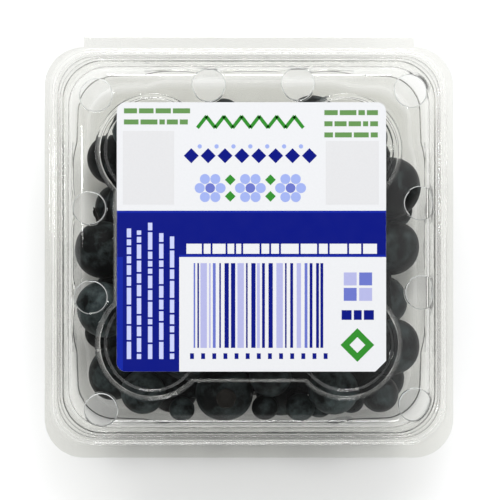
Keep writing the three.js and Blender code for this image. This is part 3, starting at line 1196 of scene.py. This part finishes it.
@dataclass
class Packing:
    """Settles the berries in the tray, step by step, by the same rule as the frame's heap."""

    tray: Tray
    seed: int = 44
    spacing: float = 15.8
    least: float = 13.6
    most: float = 18.4
    rows: tuple[int, int] = (6, 5)
    forward: float = -3.0
    beside: float = 0.62
    under: float = 0.26
    farthest_back: float = 41.0
    layer_z: tuple[float, float] = (9.0, 23.0)
    steps: int = 700
    settle: int = 150
    fall: float = 0.06
    drift: float = 0.012
    hold: float = 0.35
    clearance: float = 0.55
    lift: float = 0.35
    flattest: float = 0.84
    roundest: float = 0.94
    least_lean: float = 0.8
    most_lean: float = 2.7
    jitter: float = 2.0
    least_reach: float = 0.5
    factor: int = 1664525
    addend: int = 1013904223
    period: int = 4294967296
    state: int = 0

    def draw(self) -> float:
        """Return the next seeded draw from 0 to 1."""
        self.state = (self.state * self.factor + self.addend) % self.period
        return self.state / self.period

    def start(self) -> list[Berry]:
        """Return the berries before they settle: those that show, and hidden ones between them."""
        berries = [
            Berry(s.x, s.y, self.layer_z[s.layer], s.width / 2, s.layer, (s.x, s.y), s.lean, s.heading)
            for s in SEEN
        ]
        for b in berries:
            b.crown_shows = b.lean is not None
        for layer in (LOWER, UPPER):
            rows = self.rows[layer]
            for i in range(rows * rows):
                aside, ahead = (self.draw() - 0.5) * self.jitter, (self.draw() - 0.5) * self.jitter
                x = ((i % rows) - (rows - 1) / 2) * self.spacing + aside
                y = (i // rows - (rows - 1) / 2) * self.spacing + self.forward + ahead
                r = (self.least + (self.most - self.least) * self.draw()) / 2
                if not any(self.crowds(b, x, y, r, layer) for b in berries):
                    berries.append(Berry(x, y, self.layer_z[layer], r, layer, None))
        return berries

    def crowds(self, b: Berry, x: float, y: float, r: float, layer: int) -> bool:
        """Say whether a berry that shows leaves no room for a hidden one at a place."""
        near = self.beside if b.layer == layer else self.under
        dx, dy = b.x - x, b.y - y
        return b.home is not None and dx * dx + dy * dy < near * (b.r + r) * (b.r + r)

    def rest_height(self, x: float, y: float, r: float) -> float:
        """Return the height of a ball's middle when it rests on the tray's floor or raised panel."""
        thick, stack = self.tray.sheet.thick, self.tray.stack
        half = stack.square_foot + thick
        sx, sy = max(abs(x) - half, 0), max(abs(y) - half, 0)
        dx, dy = abs(x) - stack.disc_at, abs(y) - stack.disc_at
        to_disc = max(math.sqrt(dx * dx + dy * dy) - stack.disc_foot - thick, 0)
        away = min(math.sqrt(sx * sx + sy * sy), to_disc)
        on_panel = stack.rise + math.sqrt(r * r - away * away) if away < r else 0
        return thick + max(r, on_panel) + self.lift

    def contain(self, b: Berry) -> None:
        """Keep a berry inside the tray and over its floor."""
        tray, thick = self.tray, self.tray.sheet.thick
        corner, full_share = tray.sheet.form.corner, tray.sheet.form.full_share
        up = min(max((b.z - thick - tray.fillet) / (tray.ledge_z - thick - tray.fillet), 0), 1)
        half = tray.floor_half + (tray.ledge_inner - tray.floor_half) * up
        over = max(b.z - tray.ledge_z, 0)
        size = math.sqrt(max(b.r * b.r - over * over, 0)) + self.clearance
        widest = tray.ledge_outer - b.r - self.clearance
        full = (half - corner) * full_share
        limit_x = min(half + (tray.bulge if abs(b.y) < full else 0) - size, widest)
        limit_y = min(half + (tray.bulge if abs(b.x) < full else 0) - size, widest)
        b.x = min(max(b.x, -limit_x), limit_x)
        b.y = min(max(b.y, -limit_y), limit_y if b.home else self.farthest_back - b.r)
        arc = half - corner
        qx, qy = abs(b.x) - arc, abs(b.y) - arc
        far = math.sqrt(qx * qx + qy * qy)
        reach = max(corner - size, self.least_reach)
        if qx > 0 and qy > 0 and far > reach:
            b.x = math.copysign(arc + (qx * reach) / far, b.x)
            b.y = math.copysign(arc + (qy * reach) / far, b.y)
        b.z = max(b.z, self.rest_height(b.x, b.y, b.r))

    def part(self, a: Berry, b: Berry) -> None:
        """Move two berries apart if they overlap."""
        dx, dy, dz = b.x - a.x, b.y - a.y, b.z - a.z
        far = math.sqrt(dx * dx + dy * dy + dz * dz)
        short = a.r + b.r - far
        if short > 0:
            share = short / far / 2
            a.x -= dx * share
            a.y -= dy * share
            a.z -= dz * share
            b.x += dx * share
            b.y += dy * share
            b.z += dz * share

    def run(self) -> list[Berry]:
        """Return the berries, settled and turned."""
        self.state = self.seed
        berries = self.start()
        for step in range(self.steps):
            for b in berries:
                if step < self.steps - self.settle:
                    b.z -= self.fall
                    b.y -= 0 if b.home else self.drift
                if b.home:
                    b.x += (b.home[0] - b.x) * self.hold
                    b.y += (b.home[1] - b.y) * self.hold
            for i, a in enumerate(berries):
                for b in berries[i + 1 :]:
                    self.part(a, b)
            for b in berries:
                self.contain(b)
        for b in berries:
            flat, lean, heading = self.draw(), self.draw(), self.draw()
            b.flat = self.flattest + (self.roundest - self.flattest) * flat
            if b.lean is None:
                b.lean = self.least_lean + (self.most_lean - self.least_lean) * lean
            b.heading = 2 * math.pi * heading if b.heading is None else b.heading
        return berries


@dataclass
class Heap:
    """The berries, each a copy of one of a few moulds, with small ones in the gaps, over a dark core."""

    packing: Packing
    segments: int = 30
    rings: int = 12
    moulds: int = 3
    lobes: int = 5
    crown_radius: float = 0.33
    crown_flares: tuple[float, ...] = (1.12, 1.28, 0.98)
    crown_depths: tuple[float, ...] = (0.16, 0.12, 0.2)
    notch: float = 0.2
    tip: float = 0.9
    marked_from: float = 0.6
    marked_out: float = 1.05
    shade_step: float = 0.618
    spin_step: float = 2.4
    core_half: float = 42.5
    core_front: float = -42.8
    core_back: float = 34.0
    core_bottom: float = 7.0
    core_top: float = 18.5
    core_corner: float = 11.0
    core_edge: float = 3.0
    core_cuts: tuple[float, ...] = (12, 6, 3)
    small_lean: float = 2.9
    small_turn: float = 2.0
    lump: float = 12.0
    lump_depth: float = 5.0
    small: tuple[tuple[float, float, float, float], ...] = (
        (-30, -41, 23, 6.4),
        (6, -36.5, 23, 6.0),
        (-4.5, -40, 6.3, 5.2),
        (25, -43, 7.2, 4.9),
        (37, -41.5, 22, 5.4),
        (14.5, -45.5, 20, 4.2),
        (20, -45, 14, 3.9),
        (4.5, -45.5, 20, 3.8),
        (-19, -46, 20, 3.7),
        (29, -43.5, 15, 3.9),
        (-42.5, -3, 6.2, 5.2),
        (41.8, 10.5, 6.2, 5.1),
        (-42.3, -24.5, 6.2, 4.8),
    )

    def mould(self, number: int) -> bpy.types.Object:
        """Make one berry of radius 1, its crown up.

        Args:
            number: which of the moulds it is: the crown's flare and depth differ.

        Returns:
            The berry.
        """
        flare, depth = self.crown_flares[number], self.crown_depths[number]
        top_ring, pole, cap = 0.9, 0.999, 0.95
        raised = ((0.03, 0.97), (0.09, flare))
        sunk = ((-0.02, 0.86), (-depth, 0.72), (-0.01, 0.5))
        clear_selection()
        bpy.ops.mesh.primitive_uv_sphere_add(segments=self.segments, ring_count=self.rings, radius=1)
        obj = placed("berry_mould")
        with Bench(obj) as bench:
            bench.pick("VERT", lambda v: top_ring < v.co.z < pole)
            ring = next(math.hypot(v.co.x, v.co.y) for v in bmesh.from_edit_mesh(obj.data).verts if v.select)
            bench.grow(self.crown_radius / ring, self.crown_radius / ring, 1)
            bench.shift(z=math.sqrt(1 - self.crown_radius**2) - math.cos(math.pi / self.rings))
            bench.pick("FACE", lambda f: f.calc_center_median().z > cap)
            for rise, factor in raised:
                self.raise_cap(rise, factor)
            rim = bench.picked()
            for rise, factor in sunk:
                self.raise_cap(rise, factor)
            self.cut_lobes(bench, rim)
            bench.outward()
        apply_modifier(obj, "SUBSURF", levels=1, render_levels=1)
        mark = obj.data.attributes.new("crown", "FLOAT", "POINT")
        edge = self.crown_radius * self.marked_out
        for v, value in zip(obj.data.vertices, mark.data):
            value.value = float(v.co.z > self.marked_from and math.hypot(v.co.x, v.co.y) < edge)
        return obj

    def raise_cap(self, z: float, factor: float) -> None:
        """Extrude the picked cap and scale its new rim."""
        bpy.ops.mesh.extrude_region_move(TRANSFORM_OT_translate={"value": (0, 0, z)})
        bpy.ops.transform.resize(value=(factor, factor, 1), center_override=(0, 0, 0))

    def cut_lobes(self, bench: Bench, rim: Sequence[int]) -> None:
        """Pull the crown's rim into lobes.

        Args:
            bench: the open berry.
            rim: the rim's vertices, of which those on its edge are used.
        """
        step = 2 * math.pi / self.lobes
        mesh = bmesh.from_edit_mesh(bench.obj.data)
        mesh.verts.ensure_lookup_table()
        top = max(mesh.verts[i].co.z for i in rim)
        near, middle = 1e-4, 0.1
        edge = [i for i in rim if mesh.verts[i].co.z > top - near and mesh.verts[i].co.xy.length > middle]
        fall, drawn_in, rise, drawn_out = 0.07, 0.8, 0.02, 1.16

        def phase(co: Vector) -> float:
            """Return how far round a lobe a place is, from 0 at a notch to 1 at its tip."""
            return 1 - abs((math.atan2(co.y, co.x) % step) / step * 2 - 1)

        bench.pick_of(edge, lambda co: phase(co) < self.notch)
        bench.shift(z=-fall)
        bench.grow(drawn_in, drawn_in, 1)
        bench.pick_of(edge, lambda co: phase(co) > self.tip)
        bench.shift(z=rise)
        bench.grow(drawn_out, drawn_out, 1)

    def core(self) -> bpy.types.Object:
        """Return the dark, lumpy core that fills the heap's middle."""
        wide = 2 * self.core_half
        deep, tall = self.core_back - self.core_front, self.core_top - self.core_bottom
        middle = Vector((0, self.core_front + deep / 2, self.core_bottom + tall / 2)) * MM
        clear_selection()
        bpy.ops.mesh.primitive_cube_add(size=MM, location=middle)
        obj = placed("core")
        with Bench(obj) as bench:
            bench.pick_all()
            bench.grow(wide, deep, tall, middle)
            bench.pick("EDGE", lambda e: abs(e.verts[0].co.z - e.verts[1].co.z) > MM)
            bpy.ops.mesh.bevel(offset=self.core_corner * MM, segments=4, affect="EDGES")
            bench.pick("EDGE", lambda e: abs(e.verts[0].co.z - e.verts[1].co.z) < MM)
            bpy.ops.mesh.bevel(offset=self.core_edge * MM, segments=2, affect="EDGES")
            for length in self.core_cuts:
                bench.pick("EDGE", lambda e: e.calc_length() > length * MM)
                bpy.ops.mesh.subdivide(number_cuts=3 if length == self.core_cuts[0] else 1)
            bpy.ops.mesh.normals_make_consistent(inside=False)
        lumps = bpy.data.textures.new("lumps", "VORONOI")
        lumps.noise_scale = self.lump * MM
        apply_modifier(obj, "DISPLACE", texture=lumps, strength=-self.lump_depth * MM, mid_level=0.0)
        tray = self.packing.tray
        with Bench(obj) as bench:
            bench.pick("VERT", lambda v: v.co.y < (self.core_front + 2 * self.lump_depth) * MM)
            tray.sheet.form.swell(bench, tray.bulge)
        return obj

    def gap_fillers(self) -> list[Berry]:
        """Return the small berries in the gaps, none lower than it can rest in the tray."""
        rest = self.packing.rest_height
        return [
            Berry(x, y, max(z, rest(x, y, r)), r, LOWER, None, self.small_lean, i * self.small_turn)
            for i, (x, y, z, r) in enumerate(self.small)
        ]

    def build(self, skin: bpy.types.Material) -> bpy.types.Object:
        """Make the heap.

        Args:
            skin: the berries' material.

        Returns:
            The finished piece.
        """
        moulds = [self.mould(i) for i in range(self.moulds)]
        copies = []
        for i, b in enumerate([*self.packing.run(), *self.gap_fillers()]):
            copy = moulds[i % self.moulds].copy()
            copy.data = copy.data.copy()
            bpy.context.scene.collection.objects.link(copy)
            spin = Matrix.Rotation(i * self.spin_step, 4, "Z")
            turn = Matrix.Rotation(b.heading, 4, "Z") @ Matrix.Rotation(b.tilt(), 4, "X")
            size = Matrix.Diagonal((b.r * MM, b.r * MM, b.r * MM * b.flat, 1))
            copy.data.transform(Matrix.Translation(Vector((b.x, b.y, b.z)) * MM) @ turn @ size @ spin)
            shade = copy.data.attributes.new("shade", "FLOAT", "POINT")
            own = (i * self.shade_step) % 1.0
            shade.data.foreach_set("value", [own] * len(copy.data.vertices))
            copies.append(copy)
        for mould in moulds:
            bpy.data.objects.remove(mould)
        obj = join("berry_heap", [*copies, self.core()])
        obj.data.materials.append(skin)
        smooth(obj, degrees=60)
        return ride(obj, Body.TRAY, Slot.SKIN, "blueberries")


class Ink(Enum):
    """The label's inks, each a linear colour."""

    NAVY = (0.0012, 0.0058, 0.185)
    BLUE = (0.0040, 0.0160, 0.300)
    GREEN = (0.030, 0.230, 0.024)
    LEAF = (0.120, 0.260, 0.080)
    PALE = (0.31, 0.38, 0.72)
    LILAC = (0.40, 0.41, 0.66)
    STEEL = (0.13, 0.16, 0.50)
    MIST = (0.50, 0.54, 0.80)
    GREY = (0.65, 0.65, 0.66)
    WHITE = (0.705, 0.71, 0.725)


@dataclass
class Label:
    """The square label: coated paper with plain fields, bars and a generic border printed on it."""

    lid: Lid
    side: float = 75.0
    corner: float = 2.5
    cut: float = 3.0
    thick: float = 0.15
    x: float = 0.7
    y: float = 2.8
    lift: float = 0.05
    film: float = 0.012
    seed: int = 5
    band: tuple[float, float] = (-2.8, 10.1)
    column: float = -19.4
    rule: float = 0.6
    motif_x: float = 0.4
    zigzag_y: float = 34.8
    diamond_y: float = 25.4
    flower_y: float = 16.4
    trim: float = 0.03
    patches: tuple[tuple[float, ...], ...] = ((-35.1, -20.8, 11.8, 32.3), (21.4, 36.2, 11.8, 29.5))
    green_words: tuple[tuple[float, float, float], ...] = (
        (37.9, -34.8, -15.7),
        (34.8, -34.8, -17.0),
        (37.4, 21, 36.2),
        (34.3, 21, 36.2),
        (31.2, 21, 36.2),
    )
    upright_words: tuple[float, ...] = (-33.4, -30.6, -27.5, -24.4, -21.4)
    dash: tuple[float, float] = (1.4, 5.0)
    dash_gap: float = 0.55
    least_left: float = 1.2
    layers: dict[tuple[Ink, int], bpy.types.Object] = field(default_factory=dict)
    areas: list[tuple[Ink, bpy.types.Object]] = field(default_factory=list)

    @property
    def z(self) -> float:
        """Return the height of the label's underside."""
        return self.lid.panel_top + self.lift

    def paper(self, material: bpy.types.Material) -> bpy.types.Object:
        """Make the bare label.

        Args:
            material: its paper.

        Returns:
            The finished piece.
        """
        clear_selection()
        bpy.ops.mesh.primitive_plane_add(size=self.side * MM, location=Vector((self.x, self.y, self.z)) * MM)
        obj = placed("label_paper")
        with Bench(obj) as bench:
            self.shape_corners(bench)
        apply_modifier(obj, "SOLIDIFY", thickness=self.thick * MM, offset=1)
        obj.data.materials.append(material)
        return ride(obj, Body.LID, Slot.PAPER, "label")

    def shape_corners(self, bench: Bench) -> None:
        """Round three corners of a fresh square of the label's size and cut the front right one."""
        near = 0.49 * self.side * MM
        centre = Vector((self.x, self.y, 0)) * MM

        def cut(v: bmesh.types.BMVert) -> bool:
            """Say whether a vertex is the corner that is cut."""
            return v.co.x > centre.x + near and v.co.y < centre.y - near

        bench.pick("VERT", lambda v: not cut(v))
        bpy.ops.mesh.bevel(offset=self.corner * MM, segments=8, affect="VERTICES")
        bench.pick("VERT", cut)
        bpy.ops.mesh.bevel(offset=self.cut * MM, segments=1, affect="VERTICES")

    def area(self, ink: Ink, x0: float, x1: float, y0: float, y1: float) -> None:
        """Print the part of the whole label that lies between two lines each way.

        Args:
            ink: its colour.
            x0: its low x.
            x1: its high x.
            y0: its low y.
            y1: its high y.
        """
        clear_selection()
        middle = Vector((self.x * MM, self.y * MM, self.height(0)))
        bpy.ops.mesh.primitive_plane_add(size=(self.side - self.trim) * MM, location=middle)
        obj = placed(f"field_{len(self.areas)}")
        with Bench(obj) as bench:
            self.shape_corners(bench)
            for axis, at, sign in ((0, x0, -1), (0, x1, 1), (1, y0, -1), (1, y1, 1)):
                normal, point = [0.0, 0.0, 0.0], [0.0, 0.0, 0.0]
                normal[axis], point[axis] = sign, at * MM
                bench.pick_all()
                bpy.ops.mesh.bisect(plane_co=point, plane_no=normal, clear_outer=True)
        self.areas.append((ink, obj))

    def layer(self, ink: Ink, level: int) -> bpy.types.Object:
        """Return the mesh of one ink at one level, made when first asked for."""
        if (ink, level) not in self.layers:
            mesh = bpy.data.meshes.new(ink.name.lower())
            obj = bpy.data.objects.new(f"print_{ink.name.lower()}_{level}", mesh)
            bpy.context.scene.collection.objects.link(obj)
            self.layers[ink, level] = obj
        return self.layers[ink, level]

    def height(self, level: int) -> float:
        """Return the height that a level of ink starts at, in metres."""
        return (self.z + self.thick + self.film * level) * MM

    def bars(self, ink: Ink, level: int, boxes: Sequence[tuple[float, ...]]) -> None:
        """Print rectangles.

        Args:
            ink: their colour.
            level: 0 on the paper, 1 on a printed field, and so on.
            boxes: for each, its low x, high x, low y and high y.
        """
        with Bench(self.layer(ink, level)) as bench:
            for x0, x1, y0, y1 in boxes:
                bpy.ops.mesh.select_all(action="DESELECT")
                middle = Vector(((x0 + x1) / 2 * MM, (y0 + y1) / 2 * MM, self.height(level)))
                bpy.ops.mesh.primitive_plane_add(size=MM, location=middle)
                bench.grow(x1 - x0, y1 - y0, 1, middle)

    def turned(
        self, ink: Ink, level: int, pieces: Sequence[tuple[float, ...]], centre: tuple[float, float]
    ) -> None:
        """Print bars set round a centre.

        Args:
            ink: their colour.
            level: the level that they are printed on.
            pieces: for each, its angle in degrees, inner and outer radius, and width.
            centre: the centre.
        """
        with Bench(self.layer(ink, level)) as bench:
            for angle, inner, outer, width in pieces:
                bpy.ops.mesh.select_all(action="DESELECT")
                pivot = Vector((centre[0] * MM, centre[1] * MM, self.height(level)))
                middle = pivot + Vector(((inner + outer) / 2 * MM, 0, 0))
                bpy.ops.mesh.primitive_plane_add(size=MM, location=middle)
                bench.grow(outer - inner, width, 1, middle)
                turn(angle, pivot)

    def rounds(self, ink: Ink, level: int, pieces: Sequence[tuple[float, ...]]) -> None:
        """Print discs and ovals.

        Args:
            ink: their colour.
            level: the level that they are printed on.
            pieces: for each, its middle's x and y, its half length and half width, and its angle in degrees.
        """
        with Bench(self.layer(ink, level)) as bench:
            for x, y, length, width, angle in pieces:
                bpy.ops.mesh.select_all(action="DESELECT")
                middle = Vector((x * MM, y * MM, self.height(level)))
                bpy.ops.mesh.primitive_circle_add(vertices=40, radius=MM, fill_type="NGON", location=middle)
                bench.grow(length, width, 1, middle)
                turn(angle, middle)

    def words(
        self, start: float, end: float, low: float, high: float, draw: random.Random, upright: bool
    ) -> list[tuple[float, ...]]:
        """Return a line of plain dashes of uneven length.

        Args:
            start: where the line starts.
            end: where it ends.
            low: its lower edge.
            high: its upper edge.
            draw: the seeded draws.
            upright: whether the line runs along Y.

        Returns:
            The dashes' boxes.
        """
        made: list[tuple[float, ...]] = []
        while start < end - self.least_left:
            stop = min(start + draw.uniform(*self.dash), end)
            made.append((low, high, start, stop) if upright else (start, stop, low, high))
            start = stop + self.dash_gap
        return made

    def fields(self) -> None:
        """Print the large fields of colour."""
        left, right = self.x - self.side, self.x + self.side
        low, high = self.band
        edge_width = 1.7
        edge = self.x - self.side / 2 + edge_width
        self.area(Ink.NAVY, left, right, low + self.rule, high - self.rule)
        self.area(Ink.BLUE, left, right, high - self.rule, high)
        self.area(Ink.BLUE, self.column, right, low, low + self.rule)
        self.area(Ink.NAVY, left, self.column, low, low + self.rule)
        self.area(Ink.NAVY, edge, self.column, self.y - self.side, low)
        self.area(Ink.BLUE, left, edge, self.y - self.side, low)
        self.bars(Ink.GREY, 0, self.patches)

    def lines(self) -> None:
        """Print dashes where the label has small words."""
        draw = random.Random(self.seed)
        green, half = [], 0.7
        for y, start, end in self.green_words:
            green += self.words(start, end, y - half, y + half, draw, False)
        self.bars(Ink.LEAF, 0, green)
        start, end, low, high = -17.4, 36.0, -1.9, 0.9
        self.bars(Ink.WHITE, 1, self.words(start, end, low, high, draw, False))
        upright, half = [], 0.6
        foot, top, uneven = -31.2, 7.6, 5
        for x in self.upright_words:
            upright += self.words(foot, top - draw.uniform(0, uneven), x - half, x + half, draw, True)
        self.bars(Ink.MIST, 1, upright)

    def stripes(self) -> None:
        """Print the block of upright stripes, with ticks under it."""
        draw = random.Random(self.seed + 1)
        stripes = {Ink.NAVY: [], Ink.LILAC: [], Ink.STEEL: []}
        x, last, right, low, high = -15.4, 20.8, 21.9, -28.1, -4.5
        while x < last:
            width = draw.choice((0.45, 0.8, 1.2, 1.8))
            ink = draw.choice((Ink.NAVY, Ink.NAVY, Ink.LILAC, Ink.STEEL))
            stripes[ink].append((x, min(x + width, right), low, high))
            x += width + draw.choice((0.4, 0.6, 1.0))
        start, end, foot, top, step = -16.4, -15.3, -31.2, -29.6, 3.1
        stripes[Ink.NAVY] += [(start + i * step, end + i * step, foot, top) for i in range(13)]
        for ink, boxes in stripes.items():
            self.bars(ink, 0, boxes)

    def border(self) -> None:
        """Print the straight border: a zigzag over a row of diamonds."""
        step, half, reach, width, slope = 4.9, 1.2, 2.1, 1.0, 52
        for i in range(6):
            x = self.motif_x + (i - 2.5) * step
            self.turned(Ink.GREEN, 0, [(slope, -reach, reach, width)], (x - half, self.zigzag_y))
            self.turned(Ink.GREEN, 0, [(180 - slope, -reach, reach, width)], (x + half, self.zigzag_y))
        step, rise, dot = 4.7, 2.6, 0.6
        for i in range(8):
            self.diamond(Ink.NAVY, 0, self.motif_x + (i - 3.5) * step, self.diamond_y, reach)
        dot_y = self.diamond_y + rise
        self.rounds(Ink.PALE, 0, [(self.motif_x + (i - 3) * step, dot_y, dot, dot, 0) for i in range(7)])

    def diamond(self, ink: Ink, level: int, x: float, y: float, reach: float) -> None:
        """Print a square that stands on a corner.

        Args:
            ink: its colour.
            level: the level that it is printed on.
            x: its middle.
            y: its middle.
            reach: from its middle to a corner.
        """
        half = reach / math.sqrt(2)
        self.turned(ink, level, [(45, -half, half, 2 * half)], (x, y))

    def flowers(self) -> None:
        """Print three round-petalled flowers in a row, with diamonds between them."""
        apart, out, petal, heart, y = 11.2, 2.9, 1.4, 1.35, self.flower_y
        for x in (-apart, 0.0, apart):
            at = self.motif_x + x
            turns = [math.radians(a) for a in range(0, 360, 60)]
            petals = [(at + out * math.cos(a), y + out * math.sin(a), petal, petal, 0) for a in turns]
            self.rounds(Ink.PALE, 0, petals)
            self.rounds(Ink.STEEL, 0, [(at, y, heart, heart, 0)])
        rise, reach = 2.3, 1.5
        for x in (-apart / 2, apart / 2):
            for side in (rise, -rise):
                self.diamond(Ink.GREEN, 0, self.motif_x + x, y + side, reach)

    def marks(self) -> None:
        """Print the plain square marks at the right."""
        left, low, cell, gap = 26.4, -15.0, 3.6, 0.7
        for i, ink in enumerate((Ink.STEEL, Ink.LILAC, Ink.LILAC, Ink.STEEL)):
            x, y = left + (i % 2) * (cell + gap), low + (i // 2) * (cell + gap)
            self.bars(ink, 0, [(x, x + cell, y, y + cell)])
        foot, top = -20.3, -17.6
        sides = ((25.8, 28.6), (29.2, 31.4), (32.0, 34.8))
        self.bars(Ink.NAVY, 0, [(start, end, foot, top) for start, end in sides])
        x, y, outer, inner = 30.2, -27.3, 4.7, 2.2
        self.diamond(Ink.GREEN, 0, x, y, outer)
        self.diamond(Ink.WHITE, 1, x, y, inner)

    def build(self) -> None:
        """Make the label and its print."""
        self.paper(Coated("coated_paper", Ink.WHITE.value).material())
        self.fields()
        self.lines()
        self.stripes()
        self.border()
        self.flowers()
        self.marks()
        inks = {ink: Coated(f"ink_{ink.name.lower()}", ink.value, rough=0.34).material() for ink in Ink}
        printed = [(ink, obj) for (ink, _), obj in self.layers.items()] + self.areas
        for ink, obj in printed:
            obj.data.materials.append(inks[ink])
            apply_modifier(obj, "SOLIDIFY", thickness=self.film * MM, offset=1)
        ride(join("label_print", [obj for _, obj in printed]), Body.LID, Slot.PAPER)


def turn(degrees: float, centre: Vector) -> None:
    """Turn what is picked about the vertical through a centre, anticlockwise seen from above."""
    bpy.ops.transform.rotate(value=-math.radians(degrees), orient_axis="Z", center_override=centre)


@dataclass(frozen=True)
class Softbox:
    """An oblong light that faces the punnet: its place and size in metres, and its power in watts."""

    name: str
    place: tuple[float, float, float]
    size: tuple[float, float]
    power: float
    mirrored: bool = True
    aim_z: float = 0.03

    def hang(self) -> None:
        """Hang the light. One that isn't mirrored shows in no reflection and through no film."""
        clear_selection()
        bpy.ops.object.light_add(type="AREA", location=self.place)
        lamp = bpy.context.object
        lamp.name = self.name
        lamp.data.shape = "RECTANGLE"
        lamp.data.size, lamp.data.size_y = self.size
        lamp.data.energy = self.power
        toward_light = Vector(self.place) - Vector((0, 0, self.aim_z))
        lamp.rotation_euler = toward_light.to_track_quat("Z", "Y").to_euler()
        if not self.mirrored:
            lamp.visible_glossy = lamp.visible_transmission = False


SOFTBOXES = (
    Softbox("key", (0.12, 0.6, 1.15), (0.45, 0.35), 6.5, mirrored=False),
    Softbox("back_strip", (0.0, 0.95, 0.7), (0.5, 0.15), 5.0),
    Softbox("left_glint", (-0.32, 0.035, 1.0), (0.05, 0.16), 0.6),
    Softbox("front_strip", (0.15, -1.0, 0.35), (0.5, 0.1), 1.6),
)


@dataclass
class Studio:
    """The pale floor, the soft lights and the camera over the punnet."""

    photo_width: float = 140.5
    centre: tuple[float, float] = (0.3, -0.85)
    middle_z: float = 30.0
    lens: float = 300.0
    sensor: float = 36.0
    clip: tuple[float, float] = (0.01, 20)
    floor_side: float = 6.0
    floor_shades: tuple[float, float] = (0.92, 0.94)
    see_through: int = 32
    level: float = 0.74
    back_share: float = 0.45
    sky: tuple[float, float, float] = (0.98, 0.99, 1)
    strip_between: tuple[float, float] = (0.012, 0.042)
    strip_levels: tuple[float, float] = (0.05, 0.5)
    overhead_between: tuple[float, float] = (0.8, 0.97)

    def floor(self) -> None:
        """Make the floor."""
        clear_selection()
        bpy.ops.mesh.primitive_plane_add(size=self.floor_side)
        obj = placed("floor")
        recipe = Recipe("pale_floor")
        darkest, lightest = ([shade] * 3 for shade in self.floor_shades)
        shade = recipe.ramp(recipe.noise(3, 2), 0.3, 0.7, darkest, lightest)
        obj.data.materials.append(recipe.done(recipe.node("ShaderNodeBsdfDiffuse", Color=shade).outputs[0]))

    def surroundings(self) -> None:
        """Set the soft light from all round: strongest at the back, and dim overhead but on the right."""
        recipe = Recipe("studio", world=True)
        toward = recipe.node("ShaderNodeTexCoord").outputs["Generated"]
        axes = recipe.node("ShaderNodeSeparateXYZ", Vector=toward).outputs
        around = recipe.sum("ADD", recipe.sum("MULTIPLY", axes["Y"], self.back_share), self.level)
        overhead = recipe.level(axes["X"], *self.strip_between, *self.strip_levels, smooth=True)
        high = recipe.level(axes["Z"], *self.overhead_between, 0, 1, smooth=True)
        strength = recipe.node("ShaderNodeMix", i0=high, i2=around, i3=overhead).outputs[0]
        light = recipe.node("ShaderNodeBackground", Color=(*self.sky, 1), Strength=strength).outputs[0]
        recipe.node("ShaderNodeOutputWorld", Surface=light)
        bpy.context.scene.world = recipe.owner

    def camera(self) -> None:
        """Put the camera straight over the punnet, its top towards the hinge."""
        data = bpy.data.cameras.new("camera")
        data.lens, data.sensor_width = self.lens, self.sensor
        data.clip_start, data.clip_end = self.clip
        obj = bpy.data.objects.new("camera", data)
        bpy.context.scene.collection.objects.link(obj)
        height = self.photo_width * MM * self.lens / data.sensor_width
        obj.location = (self.centre[0] * MM, self.centre[1] * MM, self.middle_z * MM + height)
        bpy.context.scene.camera = obj

    def build(self) -> None:
        """Set the studio up."""
        bpy.context.scene.view_settings.view_transform = "Standard"
        bpy.context.scene.cycles.transparent_max_bounces = self.see_through
        self.floor()
        for softbox in SOFTBOXES:
            softbox.hang()
        self.surroundings()
        self.camera()


def main() -> None:
    """Build the punnet and its studio."""
    logging.basicConfig(level=logging.INFO, format="%(name)s %(message)s")
    sheet = Sheet()
    # the cut edges' white is partly a painted highlight for the rims' glint
    film, edge = ClearFilm().material(), CutEdgeAndGlint().material()
    tray, lid = Tray(sheet), Lid(sheet)
    Studio().build()
    tray.build(film, edge)
    lid.build(film, edge)
    HingeWeb(sheet).build(film)
    Heap(Packing(tray)).build(BerrySkin().material())
    Label(lid).build()


if __name__ == "__main__":
    main()
